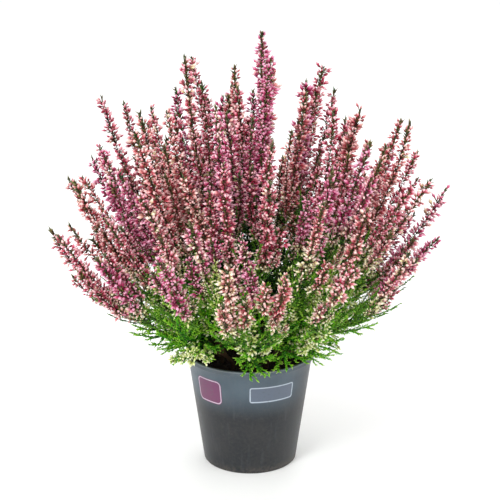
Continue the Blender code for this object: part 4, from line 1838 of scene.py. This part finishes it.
@dataclass
class Peat:
    """The peat in the pot, with a lumpy top that is strewn with crumbs."""

    pot: Pot
    top: float = 88 * MM
    lump: float = 1.4 * MM
    fine_lump: float = 1.3 * MM
    side_gap: float = 0.7 * MM
    seat_gap: float = 0.3 * MM
    sides: int = 72
    rings: int = 24
    crumb_density: float = 45000.0
    crumb_zone: float = 4 * MM
    smallest_crumb: Triple = (0.3 * MM,) * 3
    largest_crumb: Triple = (1.5 * MM, 1.1 * MM, 0.9 * MM)
    seed: int = 77

    def _height(self, x: float, y: float) -> float:
        """The lumpy top, as the CAD model has it, with finer lumps on it.

        Args:
            x: the place's x.
            y: its y.

        Returns:
            The top's height there.
        """
        swell = math.sin(150 * x + 1.3) * math.cos(130 * y - 0.6) + 0.6 * math.sin(290 * x - 240 * y)
        rough = noise.fractal(Vector((x, y, 0.2)) * 170, 0.8, 2.2, 5)
        return self.top + self.lump * swell / 1.6 + self.fine_lump * rough

    def build(self, finish: PeatFinish) -> Object:
        """Builds the body and scatters the crumbs.

        Args:
            finish: the peat's finish.

        Returns:
            The piece.
        """
        material = finish.material()
        body = self._body(material)
        recipe = Recipe("strew_crumbs", {"density": self.crumb_density, "least height": self.top - self.crumb_zone})
        self._write(recipe)
        piece = recipe.served("crumbly_peat", body, self.seed, material)
        recipe.put_away()
        set_up(piece, "peat", Slot.PEAT)
        return piece

    def _body(self, material: Material) -> Object:
        """The peat without its crumbs.

        Args:
            material: its material.

        Returns:
            The body.
        """
        bottom = self.pot.floor_top + self.seat_gap
        bottom_radius, top_radius = (
            self.pot.outer_radius(height) - self.pot.wall - self.side_gap for height in (bottom, self.top)
        )
        bm = bmesh.new()
        rows = [[bm.verts.new((0, 0, self._height(0, 0)))]]
        rows += [self._ring(bm, top_radius * i / self.rings, None) for i in range(1, self.rings + 1)]
        rows.append(self._ring(bm, between(top_radius, bottom_radius, 0.5), between(self.top, bottom, 0.5)))
        rows.append(self._ring(bm, bottom_radius, bottom))
        rows.append([bm.verts.new((0, 0, bottom))])
        for low, high in zip(rows, rows[1:]):
            for k in range(self.sides):
                j = (k + 1) % self.sides
                corners = (low[k % len(low)], low[j % len(low)], high[j % len(high)], high[k % len(high)])
                bm.faces.new(dict.fromkeys(corners))
        bmesh.ops.recalc_face_normals(bm, faces=bm.faces)
        mesh = mesh_from("peat_body", bm)
        mesh.shade_smooth()
        mesh.materials.append(material)
        return in_scene(bpy.data.objects.new("peat_body", mesh))

    def _ring(self, bm: bmesh.types.BMesh, radius: float, height: float | None) -> list[bmesh.types.BMVert]:
        """A ring of the body.

        Args:
            bm: the body's mesh.
            radius: the ring's radius.
            height: its height, or None on the lumpy top.

        Returns:
            The ring's vertices.
        """
        ring = []
        for k in range(self.sides):
            x, y = radius * math.cos(FULL_TURN * k / self.sides), radius * math.sin(FULL_TURN * k / self.sides)
            ring.append(bm.verts.new((x, y, self._height(x, y) if height is None else height)))
        return ring

    def _write(self, recipe: Recipe) -> None:
        """Writes how crumbs are strewn over the top.

        Args:
            recipe: the tree to write it in.
        """
        bench, given = recipe.bench, recipe.given
        height = bench.split(bench.output("GeometryNodeInputPosition", "Position"))[2]
        inputs = {
            "Mesh": given["Start"],
            "Selection": height > given["least height"],
            "Density": given["density"],
            "Seed": given["Seed"],
        }
        spots = bench.output("GeometryNodeDistributePointsOnFaces", "Points", inputs, distribute_method="RANDOM")
        inputs = {
            "Points": spots,
            "Instance": bench.output("GeometryNodeMeshIcoSphere", "Mesh", {"Radius": 1.0, "Subdivisions": 1}),
            "Rotation": bench.random("FLOAT_VECTOR", 5, Min=(0, 0, 0), Max=(6.28, 6.28, 6.28)),
            "Scale": bench.random("FLOAT_VECTOR", 6, Min=self.smallest_crumb, Max=self.largest_crumb),
        }
        crumbs = bench.output("GeometryNodeInstanceOnPoints", "Instances", inputs)
        recipe.end(recipe.joined(crumbs, given["Start"]))


# ---------------------------------------------------------------- studio


@dataclass
class Studio:
    """A white table in soft light, and the camera at the photograph's angle."""

    look_at: Vector = field(default_factory=lambda: Vector((0.0, 0.0, 0.186)))
    distance: float = 1.25
    elevation: float = math.radians(17.5)
    lens: float = 108.0
    floor_size: float = 24.0
    floor_colour: Colour = (0.95, 0.952, 0.955)
    sky: float = 1.0

    def build(self) -> None:
        """Lays the floor, hangs the lights and places the camera."""
        self._lay_floor()
        self._light_sky()
        self._hang("key", Vector((-0.8, -1.4, 1.6)), 0.6, 24.0)
        self._hang("fill", Vector((1.4, -0.7, 1.0)), 1.2, 5.0)
        self._hang("back", Vector((0.3, 1.6, 1.8)), 1.2, 14.0)
        self._place_camera()
        view = bpy.context.scene.view_settings
        view.view_transform, view.look = "Standard", "None"

    def _lay_floor(self) -> None:
        """A plain pale floor."""
        mesh = bpy.data.meshes.new("floor")
        half = self.floor_size / 2
        mesh.from_pydata([(-half, -half, 0), (half, -half, 0), (half, half, 0), (-half, half, 0)], [], [(0, 1, 2, 3)])
        constants = {"Base Color": self.floor_colour, "Roughness": 0.55, "Specular IOR Level": 0.2}
        mesh.materials.append(Surface("white_table", constants).material)
        floor = in_scene(bpy.data.objects.new("floor", mesh))

    def _light_sky(self) -> None:
        """Even white light from all round."""
        world = bpy.data.worlds.new("studio")
        world.use_nodes = True
        background = world.node_tree.nodes["Background"]
        background.inputs["Color"].default_value = (1.0, 1.0, 1.0, 1.0)
        background.inputs["Strength"].default_value = self.sky
        bpy.context.scene.world = world

    def _hang(self, name: str, place: Vector, size: float, power: float) -> None:
        """Hangs a square soft light that faces the plant.

        Args:
            name: the light's name.
            place: where it hangs.
            size: its width.
            power: its power in watts.
        """
        light = bpy.data.lights.new(name, "AREA")
        light.shape, light.size, light.energy = "SQUARE", size, power
        lamp = in_scene(bpy.data.objects.new(name, light))
        lamp.location = place
        lamp.rotation_euler = (self.look_at - place).to_track_quat("-Z", "Y").to_euler()

    def _place_camera(self) -> None:
        """Places the camera."""
        camera = bpy.data.cameras.new("camera")
        camera.lens = self.lens
        holder = in_scene(bpy.data.objects.new("camera", camera))
        back = Vector((0.0, -math.cos(self.elevation), math.sin(self.elevation)))
        holder.location = self.look_at + back * self.distance
        holder.rotation_euler = (-back).to_track_quat("-Z", "Y").to_euler()
        bpy.context.scene.camera = holder


def main() -> None:
    """Builds the pieces in order."""
    logging.basicConfig(level=logging.INFO, format="%(name)s: %(message)s")
    pot = Pot()
    pot.build(PotFinish())
    Peat(pot).build(PeatFinish())
    plan = GrowthPlan()
    stems = plan.stems()
    dresser = TwigDresser()
    LeafyStems(plan, dresser).build(stems, FOLIAGE_FINISH.material())
    finishes = {slot: bud_finish(name, *(srgb(*rgb) for rgb in row)) for slot, (name, row) in BUD_COLOURS.items()}
    FlowerSprays(plan, dresser).build(stems, {slot: finish.material() for slot, finish in finishes.items()})
    dresser.recipe.put_away()
    Studio().build()


if __name__ == "__main__":
    main()
